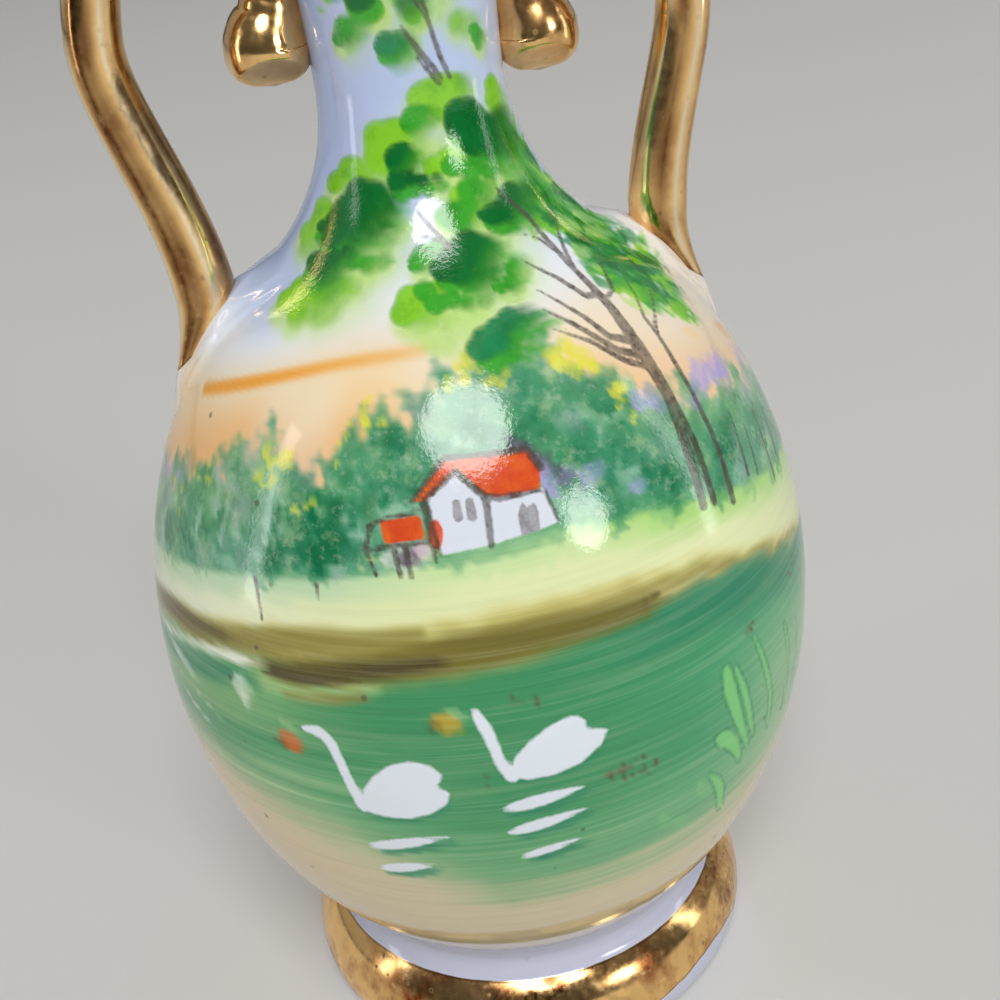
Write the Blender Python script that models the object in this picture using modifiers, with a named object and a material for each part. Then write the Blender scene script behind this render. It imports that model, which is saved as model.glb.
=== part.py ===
# Miniature two-handled bud vase in glazed porcelain, made and fired as one hollow piece.
# Metres, +Z up. The origin is on the ground, under the middle of the foot.
# The handles lie along X, and the painted front looks towards -Y.

import math

import bpy
import bmesh
from mathutils import Matrix, Vector

# Foot and stem
FOOT_RADIUS = 0.0173  # widest part of the gilt foot
FOOT_ROLL_LEVEL = 0.0026  # height of that widest part
FOOT_HEIGHT = 0.0073  # top edge of the gilding
FOOT_TOP_RADIUS = 0.0151
REST_RADIUS = 0.0160  # outer edge of the ring that the vase stands on
REST_WIDTH = 0.0028
RECESS_DEPTH = 0.0030  # hollow under the foot
STEM_HEIGHT = 0.0035  # plain cove between foot and body
STEM_WAIST_RADIUS = 0.0144
STEM_TOP_RADIUS = 0.0157

# Body, an egg of revolution cut off by the stem and the neck
BODY_RADIUS = 0.02305
BODY_LOWER_HEIGHT = 0.0212  # from the stem to the widest level
BODY_DOME_HEIGHT = 0.0290  # half height that the upper egg would have if it closed
SHOULDER_RADIUS = 0.0121  # where the body turns into the neck

# Neck and mouth
NECK_RADIUS = 0.00575
NECK_RISE = 0.0118  # from the shoulder to the narrowest level
FLARE_HEIGHT = 0.0270  # from the narrowest level to the mouth
NECK_STRAIGHT = 0.0070  # pull that keeps the neck upright above its narrowest level
MOUTH_RADIUS = 0.0106
MOUTH_LEAN = math.radians(42)  # how far the lip's side leans out from upright

# Walls
BODY_WALL = 0.0020
NECK_WALL = 0.0015
FLOOR_THICKNESS = 0.0024

# Handles, measured along their middle line
HANDLE_THICKNESS = 0.0034
HANDLE_ROOT_DROP = 0.0052  # root below the shoulder
HANDLE_ROOT_SINK = 0.0014  # root inside the outline, within the wall
HANDLE_ROOT_FLARE = 1.3  # root's thickness as a share of the handle's
HANDLE_BEND_REACH = 0.0176  # outermost point, from the axis
HANDLE_BEND_RISE = 0.0027  # above the narrowest level of the neck
HANDLE_TOP_REACH = 0.0122
HANDLE_TOP_RISE = 0.0132
HANDLE_END_FLARE = 1.05
LEFT_LIFT = 0.0007  # the handles were set by hand, so the left one sits higher
RIGHT_LIFT = -0.0008

# Scroll ends, the drops where the handles rest against the neck
SCROLL_RADIUS = 0.0025
SCROLL_LENGTH = 0.0053
SCROLL_RISE = 0.0022  # above the narrowest level of the neck
SCROLL_BITE = 0.0003  # how far the drop and the handle's end run into the neck
SCROLL_FACET_DEPTH = 0.0021  # from the drop's middle to each flat under it
SCROLL_FACET_TURN = math.radians(35)

# Pads, the low swellings that the handles stand on
PAD_LENGTH = 0.0100
PAD_WIDTH = 0.0062
PAD_RISE = 0.0008  # above the shoulder's surface
PAD_CLIMB = 0.0022  # pad's middle above the handle's root

# Fullness of the curves, as shares of the lengths that they join
MOUTH_PULL = 0.2
NECK_PULL = 0.42
STEM_WAIST_SHARE = 0.45  # waist's height within the stem
ROLL_TOP_OUT = 0.55  # the foot's upper swell, out and down from its top edge
ROLL_TOP_DOWN = 0.15
ROLL_PULL_UP = 0.45
ROLL_PULL_DOWN = 0.4
REST_PULL = 0.1
ROOT_LEAN = (-0.9, 0, 2.5)  # way that a handle leaves the shoulder
ROOT_PULL = 0.15
BEND_PULL_DOWN = 0.23
BEND_PULL_UP = 0.28
TOP_PULL_OUT = 0.6
TOP_PULL_IN = 0.7
END_PULL = 0.5
END_DRIFT = 0.1
TOP_THICKNESS = 0.95  # share of the handle's thickness

# Fineness of the faces
TURN_STEPS = 36
FLARE_STEPS = 9
SWEEP_STEPS = 7
DOME_STEPS = 8
LOWER_STEPS = 7
SMALL_STEPS = 4
ROUND_STEPS = 5
HANDLE_BEVEL_RESOLUTION = 3
HANDLE_CURVE_STEPS = 9
BALL_SEGMENTS = 16
BALL_RINGS = 10
MERGE = 0.00001

# Levels worked out from the sizes above
STEM_TOP = FOOT_HEIGHT + STEM_HEIGHT
BELLY_LEVEL = STEM_TOP + BODY_LOWER_HEIGHT
SHOULDER_ANGLE = math.acos(SHOULDER_RADIUS / BODY_RADIUS)
SHOULDER_LEVEL = BELLY_LEVEL + BODY_DOME_HEIGHT * math.sin(SHOULDER_ANGLE)
NECK_LEVEL = SHOULDER_LEVEL + NECK_RISE
MOUTH_LEVEL = NECK_LEVEL + FLARE_HEIGHT
ROOT_LEVEL = SHOULDER_LEVEL - HANDLE_ROOT_DROP
SCROLL_LEVEL = NECK_LEVEL + SCROLL_RISE
FLOOR_LEVEL = RECESS_DEPTH + FLOOR_THICKNESS


def bezier(start, start_pull, end_pull, end, count):
    """Points of a cubic curve in the plane of radius and height."""
    points = []
    for i in range(count + 1):
        t = i / count
        u = 1 - t
        weights = (u * u * u, 3 * u * u * t, 3 * u * t * t, t * t * t)
        corners = (start, start_pull, end_pull, end)
        points.append(tuple(sum(w * c[k] for w, c in zip(weights, corners)) for k in (0, 1)))
    return points


def ellipse_arc(level, across, up, start, end, count):
    """Points of an ellipse round the axis, from one angle above its middle to another."""
    angles = [start + (end - start) * i / count for i in range(count + 1)]
    return [(across * math.cos(a), level + up * math.sin(a)) for a in angles]


def dome_point(level):
    """Surface point and outward normal of the upper body at a level."""
    rise = (level - BELLY_LEVEL) / BODY_DOME_HEIGHT
    radius = BODY_RADIUS * math.sqrt(1 - rise * rise)
    normal = Vector((radius / BODY_RADIUS ** 2, 0, (level - BELLY_LEVEL) / BODY_DOME_HEIGHT ** 2))
    return Vector((radius, 0, level)), normal.normalized()


def neck_and_dome():
    """Outer line from the mouth down to the widest level."""
    lean = Vector((math.sin(MOUTH_LEAN), math.cos(MOUTH_LEAN)))
    mouth = (MOUTH_RADIUS, MOUTH_LEVEL)
    mouth_pull = tuple(Vector(mouth) - lean * MOUTH_PULL * FLARE_HEIGHT)
    waist = (NECK_RADIUS, NECK_LEVEL)
    flare = bezier(mouth, mouth_pull, (NECK_RADIUS, NECK_LEVEL + NECK_STRAIGHT), waist, FLARE_STEPS)

    slope = Vector((-BODY_RADIUS * math.sin(SHOULDER_ANGLE), BODY_DOME_HEIGHT * math.cos(SHOULDER_ANGLE)))
    reach = NECK_PULL * NECK_RISE
    shoulder = (SHOULDER_RADIUS, SHOULDER_LEVEL)
    shoulder_pull = tuple(Vector(shoulder) + slope.normalized() * reach)
    sweep = bezier(waist, (NECK_RADIUS, NECK_LEVEL - reach), shoulder_pull, shoulder, SWEEP_STEPS)

    dome = ellipse_arc(BELLY_LEVEL, BODY_RADIUS, BODY_DOME_HEIGHT, SHOULDER_ANGLE, 0, DOME_STEPS)
    return flare + sweep[1:] + dome[1:]


def lower_body():
    """Outer line from the widest level down to the stem."""
    foot_angle = math.acos(STEM_TOP_RADIUS / BODY_RADIUS)
    depth = BODY_LOWER_HEIGHT / math.sin(foot_angle)
    return ellipse_arc(BELLY_LEVEL, BODY_RADIUS, depth, 0, -foot_angle, LOWER_STEPS)


def stem_and_foot():
    """Outer line from the stem's top down to the ring that the vase stands on, and under it."""
    waist = (STEM_WAIST_RADIUS, FOOT_HEIGHT + STEM_WAIST_SHARE * STEM_HEIGHT)
    top = (FOOT_TOP_RADIUS, FOOT_HEIGHT)
    stem = bezier((STEM_TOP_RADIUS, STEM_TOP), waist, waist, top, SMALL_STEPS)

    swell = FOOT_RADIUS - FOOT_TOP_RADIUS
    drop = FOOT_HEIGHT - FOOT_ROLL_LEVEL
    roll = (FOOT_RADIUS, FOOT_ROLL_LEVEL)
    roll_top = (FOOT_TOP_RADIUS + ROLL_TOP_OUT * swell, FOOT_HEIGHT - ROLL_TOP_DOWN * drop)
    upper = bezier(top, roll_top, (FOOT_RADIUS, FOOT_ROLL_LEVEL + ROLL_PULL_UP * drop), roll, ROUND_STEPS)
    roll_pull = (FOOT_RADIUS, ROLL_PULL_DOWN * FOOT_ROLL_LEVEL)
    rest_pull = (REST_RADIUS, REST_PULL * FOOT_ROLL_LEVEL)
    lower = bezier(roll, roll_pull, rest_pull, (REST_RADIUS, 0), SMALL_STEPS)

    ring_inside = REST_RADIUS - REST_WIDTH
    recess = ellipse_arc(0, ring_inside, RECESS_DEPTH, 0, math.pi / 2, ROUND_STEPS)
    return stem + upper[1:] + lower[1:] + [(ring_inside, 0)] + recess[1:-1] + [(0, RECESS_DEPTH)]


def wall_at(level):
    """Wall thickness, thinning from the body to the neck."""
    share = min(max((level - SHOULDER_LEVEL) / NECK_RISE, 0), 1)
    return BODY_WALL + (NECK_WALL - BODY_WALL) * share


def inset(line, share):
    """The line moved into the clay by a share of the wall, square to itself."""
    moved = []
    for i, (radius, level) in enumerate(line):
        before = line[max(i - 1, 0)]
        after = line[min(i + 1, len(line) - 1)]
        along = Vector((after[0] - before[0], after[1] - before[1])).normalized()
        step = wall_at(level) * share
        moved.append((radius + along.y * step, level - along.x * step))
    return moved


def cavity(share):
    """Line of the hollow from the mouth down to the middle of its floor, at a share of the wall."""
    outer = neck_and_dome() + lower_body()[1:-1]
    inner = inset(outer, share)
    last_radius, last_level = inner[-1]
    depth = last_level - FLOOR_LEVEL
    floor = ellipse_arc(last_level, last_radius, depth, 0, -math.pi / 2, ROUND_STEPS)
    return inner + floor[1:-1] + [(0, FLOOR_LEVEL)]


def lip(outer_edge, inner_edge):
    """Half round from the inner edge of the mouth over to the outer one."""
    outer_edge = Vector(outer_edge)
    inner_edge = Vector(inner_edge)
    middle = (outer_edge + inner_edge) / 2
    reach = inner_edge - middle
    turns = [-math.pi * i / SMALL_STEPS for i in range(1, SMALL_STEPS)]
    return [tuple(middle + Matrix.Rotation(turn, 2) @ reach) for turn in turns]


def collection(name, parent=None):
    group = bpy.data.collections.new(name)
    (parent or bpy.context.scene.collection).children.link(group)
    return group


def put(name, mesh, group):
    thing = bpy.data.objects.new(name, mesh)
    group.objects.link(thing)
    return thing


def put_form(name, form, group):
    mesh = bpy.data.meshes.new(name)
    form.to_mesh(mesh)
    form.free()
    return put(name, mesh, group)


def turned(name, line, group):
    """A solid of revolution from points that start on the axis and end on it."""
    form = bmesh.new()
    corners = [form.verts.new((radius, 0, level)) for radius, level in line]
    for first, second in zip(corners, corners[1:]):
        form.edges.new((first, second))
    thing = put_form(name, form, group)
    screw = thing.modifiers.new("turn", "SCREW")
    screw.steps = TURN_STEPS
    screw.render_steps = TURN_STEPS
    screw.use_merge_vertices = True
    screw.merge_threshold = MERGE
    screw.use_smooth_shade = True
    return thing


def mesh_of_curve(thing, group):
    """Swaps a curve for the closed mesh that it makes."""
    bpy.context.view_layer.update()
    shown = thing.evaluated_get(bpy.context.evaluated_depsgraph_get())
    mesh = bpy.data.meshes.new_from_object(shown)
    form = bmesh.new()
    form.from_mesh(mesh)
    bmesh.ops.remove_doubles(form, verts=form.verts, dist=MERGE)
    bmesh.ops.recalc_face_normals(form, faces=form.faces)
    form.to_mesh(mesh)
    form.free()
    name = thing.name
    place = thing.matrix_world.copy()
    bpy.data.objects.remove(thing)
    solid = put(name, mesh, group)
    solid.matrix_world = place
    return solid


def handle(name, side, lift, group):
    """One handle, from its root in the shoulder over the top to its scroll end."""
    surface, _ = dome_point(ROOT_LEVEL)
    root = Vector((surface.x - HANDLE_ROOT_SINK, 0, ROOT_LEVEL))
    bend = Vector((HANDLE_BEND_REACH + lift / 3, 0, NECK_LEVEL + HANDLE_BEND_RISE + lift))
    top = Vector((HANDLE_TOP_REACH, 0, NECK_LEVEL + HANDLE_TOP_RISE + lift))
    end_reach = NECK_RADIUS + HANDLE_END_FLARE * HANDLE_THICKNESS / 2 - SCROLL_BITE
    end = Vector((end_reach, 0, SCROLL_LEVEL + lift))
    climb = bend.z - root.z
    arch = top.z - bend.z
    fall = top.z - end.z
    inward = top.x - end.x
    leave = Vector(ROOT_LEAN) * ROOT_PULL * climb
    drift = END_DRIFT * inward
    knots = (
        (root, -leave, leave, HANDLE_ROOT_FLARE),
        (bend, Vector((0, 0, -BEND_PULL_DOWN * climb)), Vector((0, 0, BEND_PULL_UP * arch)), 1),
        (top, Vector((TOP_PULL_OUT * (bend.x - top.x), 0, 0)), Vector((-TOP_PULL_IN * inward, 0, 0)), TOP_THICKNESS),
        (end, Vector((-drift, 0, END_PULL * fall)), Vector((0, 0, -drift)), HANDLE_END_FLARE),
    )
    line = bpy.data.curves.new(name, "CURVE")
    line.dimensions = "3D"
    line.bevel_depth = HANDLE_THICKNESS / 2
    line.bevel_resolution = HANDLE_BEVEL_RESOLUTION
    line.resolution_u = HANDLE_CURVE_STEPS
    line.use_fill_caps = True
    spline = line.splines.new("BEZIER")
    spline.bezier_points.add(len(knots) - 1)
    for point, (place, back, forward, thickness) in zip(spline.bezier_points, knots):
        point.handle_left_type = "FREE"
        point.handle_right_type = "FREE"
        point.co = (side * place.x, 0, place.z)
        point.handle_left = (side * (place.x + back.x), 0, place.z + back.z)
        point.handle_right = (side * (place.x + forward.x), 0, place.z + forward.z)
        point.radius = thickness
    return mesh_of_curve(put(name, line, group), group)


def ball(place):
    form = bmesh.new()
    bmesh.ops.create_uvsphere(form, u_segments=BALL_SEGMENTS, v_segments=BALL_RINGS, radius=1, matrix=place)
    return form


def scroll(name, side, lift, group):
    """The drop at a handle's end, with a flat cut towards the front and one towards the back."""
    middle = Vector((side * (NECK_RADIUS + SCROLL_RADIUS - SCROLL_BITE), 0, SCROLL_LEVEL + lift))
    shape = Matrix.Diagonal((SCROLL_RADIUS, SCROLL_RADIUS, SCROLL_LENGTH / 2, 1))
    form = ball(Matrix.Translation(middle) @ shape)
    for way in (-1, 1):
        down = Vector((0, way * math.sin(SCROLL_FACET_TURN), -math.cos(SCROLL_FACET_TURN)))
        everything = form.verts[:] + form.edges[:] + form.faces[:]
        cut = bmesh.ops.bisect_plane(
            form, geom=everything, dist=MERGE, plane_co=middle + down * SCROLL_FACET_DEPTH,
            plane_no=down, clear_outer=True)
        edges = [e for e in cut["geom_cut"] if isinstance(e, bmesh.types.BMEdge)]
        bmesh.ops.holes_fill(form, edges=edges, sides=0)
    return put_form(name, form, group)


def pad(name, side, group):
    """The low oval swelling under a handle's root."""
    surface, normal = dome_point(ROOT_LEVEL + PAD_CLIMB)
    tilt = math.atan2(normal.x, normal.z)
    thickness = PAD_RISE + BODY_WALL / 2
    middle = surface - normal * BODY_WALL / 2
    place = Matrix.Translation((side * middle.x, 0, middle.z)) @ Matrix.Rotation(side * tilt, 4, "Y")
    shape = Matrix.Diagonal((PAD_LENGTH / 2, PAD_WIDTH / 2, thickness, 1))
    return put_form(name, ball(place @ shape), group)


def boolean(thing, operation, other):
    step = thing.modifiers.new(other.name, "BOOLEAN")
    step.operation = operation
    step.object = other


def porcelain():
    """White glazed porcelain with the average tone of the painted scene."""
    material = bpy.data.materials.new("glazed_porcelain")
    material.use_nodes = True
    shader = material.node_tree.nodes["Principled BSDF"]
    shader.inputs["Base Color"].default_value = (0.62, 0.70, 0.62, 1)
    shader.inputs["Roughness"].default_value = 0.12
    shader.inputs["Metallic"].default_value = 0
    return material


def clear_scene():
    for thing in list(bpy.data.objects):
        bpy.data.objects.remove(thing)


def build():
    clear_scene()
    vase_group = collection("bud_vase")
    helper_group = collection("bud_vase_joined_forms")

    outer = neck_and_dome() + lower_body()[1:] + stem_and_foot()[1:]
    inner = cavity(1)
    shell = inner[::-1] + lip(outer[0], inner[0]) + outer
    vase = turned("vase", shell, vase_group)
    vase.data.materials.append(porcelain())

    # Handles and pads end halfway through the wall, so the hollow stays smooth
    core = turned("wall_core", [(0, MOUTH_LEVEL)] + cavity(0.5), helper_group)
    for side, word, lift in ((-1, "left", LEFT_LIFT), (1, "right", RIGHT_LIFT)):
        forms = (
            pad(word + "_pad", side, helper_group),
            handle(word + "_handle", side, lift, helper_group),
            scroll(word + "_scroll", side, lift, helper_group),
        )
        for form in forms:
            boolean(form, "DIFFERENCE", core)
            boolean(vase, "UNION", form)
    for helper in helper_group.objects:
        helper.hide_render = True
        helper.display_type = "WIRE"


build()
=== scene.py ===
import math

import bmesh
import bpy
import numpy as np
from mathutils import Matrix, Vector


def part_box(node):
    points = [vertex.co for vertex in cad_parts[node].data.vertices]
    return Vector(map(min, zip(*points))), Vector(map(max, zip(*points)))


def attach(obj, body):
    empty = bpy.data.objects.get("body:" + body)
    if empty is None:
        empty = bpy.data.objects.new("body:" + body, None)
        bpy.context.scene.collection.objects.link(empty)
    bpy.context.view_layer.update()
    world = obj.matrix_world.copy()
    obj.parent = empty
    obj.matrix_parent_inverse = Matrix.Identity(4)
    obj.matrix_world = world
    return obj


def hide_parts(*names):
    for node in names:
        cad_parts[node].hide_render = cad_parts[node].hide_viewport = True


# Dressing of a small hand-painted porcelain vase. Sizes here are in millimetres, meshes in metres.
# Places on the painting are an angle round the vase (0 at the front, rising to the right) and a height.
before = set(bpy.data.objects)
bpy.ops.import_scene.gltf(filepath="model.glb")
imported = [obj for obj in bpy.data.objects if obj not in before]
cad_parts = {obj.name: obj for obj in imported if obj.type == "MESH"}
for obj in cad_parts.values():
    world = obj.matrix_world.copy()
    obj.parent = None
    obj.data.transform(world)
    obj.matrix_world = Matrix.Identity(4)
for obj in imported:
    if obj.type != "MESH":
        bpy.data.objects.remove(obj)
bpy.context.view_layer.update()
vaseLow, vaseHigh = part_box("vase")
mm = 0.001
skin = 0.6  # points this near the outer line, or outside it, belong to the outer side
print("frame loaded, vase is", [round(v / mm, 1) for v in vaseHigh - vaseLow], "mm")


# Small tools for lines in the plane of radius and height

def bezierLine(start, startPull, endPull, end, count=300):
    t = np.linspace(0, 1, count + 1)[:, None]
    u = 1 - t
    corners = [np.array(c, float) for c in (start, startPull, endPull, end)]
    return u ** 3 * corners[0] + 3 * u * u * t * corners[1] + 3 * u * t * t * corners[2] + t ** 3 * corners[3]


def ellipseLine(level, across, up, startAngle, endAngle, count=400):
    a = np.linspace(startAngle, endAngle, count + 1)
    return np.stack([across * np.cos(a), level + up * np.sin(a)], 1)


def evenly(line, spacing):
    # the same line with points at equal steps
    steps = np.hypot(*np.diff(line, axis=0).T)
    run = np.concatenate([[0], np.cumsum(steps)])
    count = max(int(round(run[-1] / spacing)), 1)
    places = np.linspace(0, run[-1], count + 1)
    return np.stack([np.interp(places, run, line[:, 0]), np.interp(places, run, line[:, 1])], 1)


def ease(value, low, high):
    # rises smoothly from 0 at low to 1 at high
    t = np.clip((value - low) / (high - low), 0, 1)
    return t * t * (3 - 2 * t)


def linearTone(tone):
    # picture colours from 0 to 255, made linear
    c = np.asarray(tone, float) / 255
    return np.where(c <= 0.04045, c / 12.92, ((c + 0.055) / 1.055) ** 2.4)


def rgba(tone):
    return (*[float(c) for c in linearTone(tone)], 1)


def ripple(points, size, seed, stretch=(1, 1, 1)):
    # smooth seeded unevenness, mostly between -1 and 1
    draw = np.random.default_rng(seed)
    total = np.zeros(len(points))
    for _ in range(12):
        way = draw.normal(size=3)
        way *= 2 * math.pi / (size * np.linalg.norm(way)) * draw.uniform(0.6, 1.5)
        total += np.sin(points @ (way * stretch) + draw.uniform(0, 2 * math.pi))
    return total / 3.4


# Camera, at the place from which the vase was photographed

cameraSettings = {
    "distance": 84.47,  # from the vase's axis
    "height": 84.03,
    "swing": 5.0,  # degrees to the left of the front
    "yaw": 1.34,
    "pitch": 28.45,
    "roll": -7.815,
    "lens": 48.6,
    "sensor": 36,
}


def addCamera(s):
    heading = math.radians(s["swing"] + s["yaw"])
    pitch = math.radians(s["pitch"])
    roll = math.radians(s["roll"])
    swing = math.radians(s["swing"])
    ahead = Vector((math.sin(heading) * math.cos(pitch), math.cos(heading) * math.cos(pitch), -math.sin(pitch)))
    level = Vector((math.cos(heading), -math.sin(heading), 0))
    upright = level.cross(ahead)
    right = level * math.cos(roll) + upright * math.sin(roll)
    up = upright * math.cos(roll) - level * math.sin(roll)
    data = bpy.data.cameras.new("viewCamera")
    data.sensor_width = s["sensor"]
    data.lens = s["lens"]
    data.clip_start = 0.002
    camera = bpy.data.objects.new("viewCamera", data)
    bpy.context.scene.collection.objects.link(camera)
    place = Matrix((right, up, -ahead)).transposed().to_4x4()
    place.translation = Vector((-math.sin(swing) * s["distance"], -math.cos(swing) * s["distance"],
                                s["height"])) * mm
    camera.matrix_world = place
    bpy.context.scene.camera = camera


addCamera(cameraSettings)


# Outline of the vase, the same curves as the solid's but smooth

vase = {
    "footRadius": 17.3, "footRollLevel": 2.6, "footHeight": 7.3, "footTopRadius": 15.1,
    "restRadius": 16.0, "restWidth": 2.8, "recessDepth": 3.0,
    "stemHeight": 3.5, "stemWaistRadius": 14.4, "stemTopRadius": 15.7,
    "bodyRadius": vaseHigh.x / mm, "bodyLowerHeight": 21.2, "bodyDomeHeight": 29.0, "shoulderRadius": 12.1,
    "neckRadius": 5.75, "neckRise": 11.8, "flareHeight": 27.0, "neckStraight": 7.0,
    "mouthRadius": 10.6, "mouthLean": 42, "bodyWall": 2.0, "neckWall": 1.5, "floorThickness": 2.4,
    "paintedLow": 20, "paintedHigh": 78, "columns": 132, "cell": 1.1, "innerCell": 2.0, "footCell": 0.5,
}
stemTop = vase["footHeight"] + vase["stemHeight"]
bellyLevel = stemTop + vase["bodyLowerHeight"]
shoulderAngle = math.acos(vase["shoulderRadius"] / vase["bodyRadius"])
shoulderLevel = bellyLevel + vase["bodyDomeHeight"] * math.sin(shoulderAngle)
neckLevel = shoulderLevel + vase["neckRise"]
mouthLevel = neckLevel + vase["flareHeight"]


def upperLine(v):
    # from the mouth down to the stem
    lean = math.radians(v["mouthLean"])
    mouth = np.array((v["mouthRadius"], mouthLevel))
    mouthPull = mouth - 0.2 * v["flareHeight"] * np.array((math.sin(lean), math.cos(lean)))
    waist = (v["neckRadius"], neckLevel)
    flare = bezierLine(mouth, mouthPull, (v["neckRadius"], neckLevel + v["neckStraight"]), waist)
    slope = np.array((-v["bodyRadius"] * math.sin(shoulderAngle), v["bodyDomeHeight"] * math.cos(shoulderAngle)))
    slope /= np.linalg.norm(slope)
    shoulder = np.array((v["shoulderRadius"], shoulderLevel))
    pull = 0.42 * v["neckRise"]
    sweep = bezierLine(waist, (v["neckRadius"], neckLevel - pull), shoulder + slope * pull, shoulder)
    dome = ellipseLine(bellyLevel, v["bodyRadius"], v["bodyDomeHeight"], shoulderAngle, 0)
    endAngle = math.acos(v["stemTopRadius"] / v["bodyRadius"])
    lower = ellipseLine(bellyLevel, v["bodyRadius"], v["bodyLowerHeight"] / math.sin(endAngle), 0, -endAngle)
    return np.concatenate([flare, sweep[1:], dome[1:], lower[1:]])


def stemLine(v):
    waist = (v["stemWaistRadius"], v["footHeight"] + 0.45 * v["stemHeight"])
    return bezierLine((v["stemTopRadius"], stemTop), waist, waist, (v["footTopRadius"], v["footHeight"]))


def footLine(v):
    swell = v["footRadius"] - v["footTopRadius"]
    drop = v["footHeight"] - v["footRollLevel"]
    roll = (v["footRadius"], v["footRollLevel"])
    upper = bezierLine(
        (v["footTopRadius"], v["footHeight"]), (v["footTopRadius"] + 0.55 * swell, v["footHeight"] - 0.15 * drop),
        (v["footRadius"], v["footRollLevel"] + 0.45 * drop), roll)
    lower = bezierLine(
        roll, (v["footRadius"], 0.4 * v["footRollLevel"]), (v["restRadius"], 0.1 * v["footRollLevel"]),
        (v["restRadius"], 0))
    return np.concatenate([upper, lower[1:]])


def underLine(v):
    ringInside = v["restRadius"] - v["restWidth"]
    recess = ellipseLine(0, ringInside, v["recessDepth"], 0, math.pi / 2)
    return np.concatenate([evenly(recess, v["cell"])[:-1], [(0, v["recessDepth"])]])


def hollowLine(v):
    # the outer line moved in by the wall, and the floor
    outer = upperLine(v)[:-1]
    along = np.gradient(outer, axis=0)
    along /= np.linalg.norm(along, axis=1)[:, None]
    share = np.clip((outer[:, 1] - shoulderLevel) / v["neckRise"], 0, 1)
    wall = v["bodyWall"] + (v["neckWall"] - v["bodyWall"]) * share
    inner = np.stack([outer[:, 0] + along[:, 1] * wall, outer[:, 1] - along[:, 0] * wall], 1)
    floorLevel = v["recessDepth"] + v["floorThickness"]
    floor = ellipseLine(inner[-1, 1], inner[-1, 0], inner[-1, 1] - floorLevel, 0, -math.pi / 2)
    return evenly(np.concatenate([inner, floor[1:]]), v["innerCell"])


def lipLine(outerEdge, innerEdge, count=8):
    middle = (outerEdge + innerEdge) / 2
    reach = innerEdge - middle
    turns = [-math.pi * i / count for i in range(1, count)]
    return np.array([
        middle + (reach[0] * math.cos(a) - reach[1] * math.sin(a), reach[0] * math.sin(a) + reach[1] * math.cos(a))
        for a in turns])


outerLine = upperLine(vase)
stemAndFoot = np.concatenate([stemLine(vase), footLine(vase)[1:]])
wholeOutside = np.concatenate([outerLine, stemAndFoot[1:]])
meridianRun = np.concatenate([[0], np.cumsum(np.hypot(*np.diff(wholeOutside, axis=0).T))])
meridianRun = meridianRun[-1] - meridianRun  # distance along the surface, upwards from the foot


def radiusAt(level):
    return np.interp(level, wholeOutside[::-1, 1], wholeOutside[::-1, 0])


def runAt(level):
    return np.interp(level, wholeOutside[::-1, 1], meridianRun[::-1])


# Handles: one swept rod each, from the shoulder over the top and down into its scroll drop

handle = {
    "thickness": 3.4, "rootDrop": 5.2, "rootSink": 1.4,
    "swellPlaces": (0, 0.18, 0.4, 0.7, 1), "swells": (1.34, 1.2, 1.1, 1.03, 1),
    "rootThin": 1.75, "rootThinRise": 6.3, "tailLength": 2.8, "tailRadius": 0.35, "tailRings": 8,
    "bendReach": 17.6, "bendRise": 2.7, "topReach": 12.2, "topRise": 13.2, "topShare": 0.95, "endFlare": 1.05,
    "leave": (-0.9, 2.5), "rootPull": 0.15, "bendDown": 0.23, "bendUp": 0.28, "topOut": 0.6, "topIn": 0.7,
    "endPull": 0.5, "endDrift": 0.1,
    "scrollRadius": 2.6, "bellDrop": 0.5, "scrollLength": 5.3, "scrollRise": 2.2, "scrollBite": 0.3,
    "strapEnd": 3.4, "tipRadius": 0.02,
    "facetReach": 4, "facetDepth": 2.1, "facetTurn": 38, "facetCrown": 0.12,
    "lifts": {"left": 0.7, "right": -0.8},
    "sides": 36, "stations": 26,
    # painted reflection bands along the gilding, as side, width and strength: painted dark reflection above nought,
    # painted highlight below
    "bands": {"left": ((0.52, 0.19, 1.2), (0.12, 0.2, 0.8), (-0.84, 0.14, 0.8), (0.88, 0.08, -1.0),
                       (-0.36, 0.13, -1.0)),
              "right": ((-0.4, 0.09, 0.9), (-0.14, 0.16, 1.0), (0.1, 0.06, 0.9), (0.73, 0.06, 0.5),
                        (0.36, 0.13, -1.1),
                        (-0.66, 0.1, -0.6))},
    "bandStart": (9.5, 11.0), "giltOuter": 52.2, "giltOuterReach": 17.6, "giltSlope": 0.83,
}
rootLevel = shoulderLevel - handle["rootDrop"]
scrollLevel = neckLevel + handle["scrollRise"]


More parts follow.
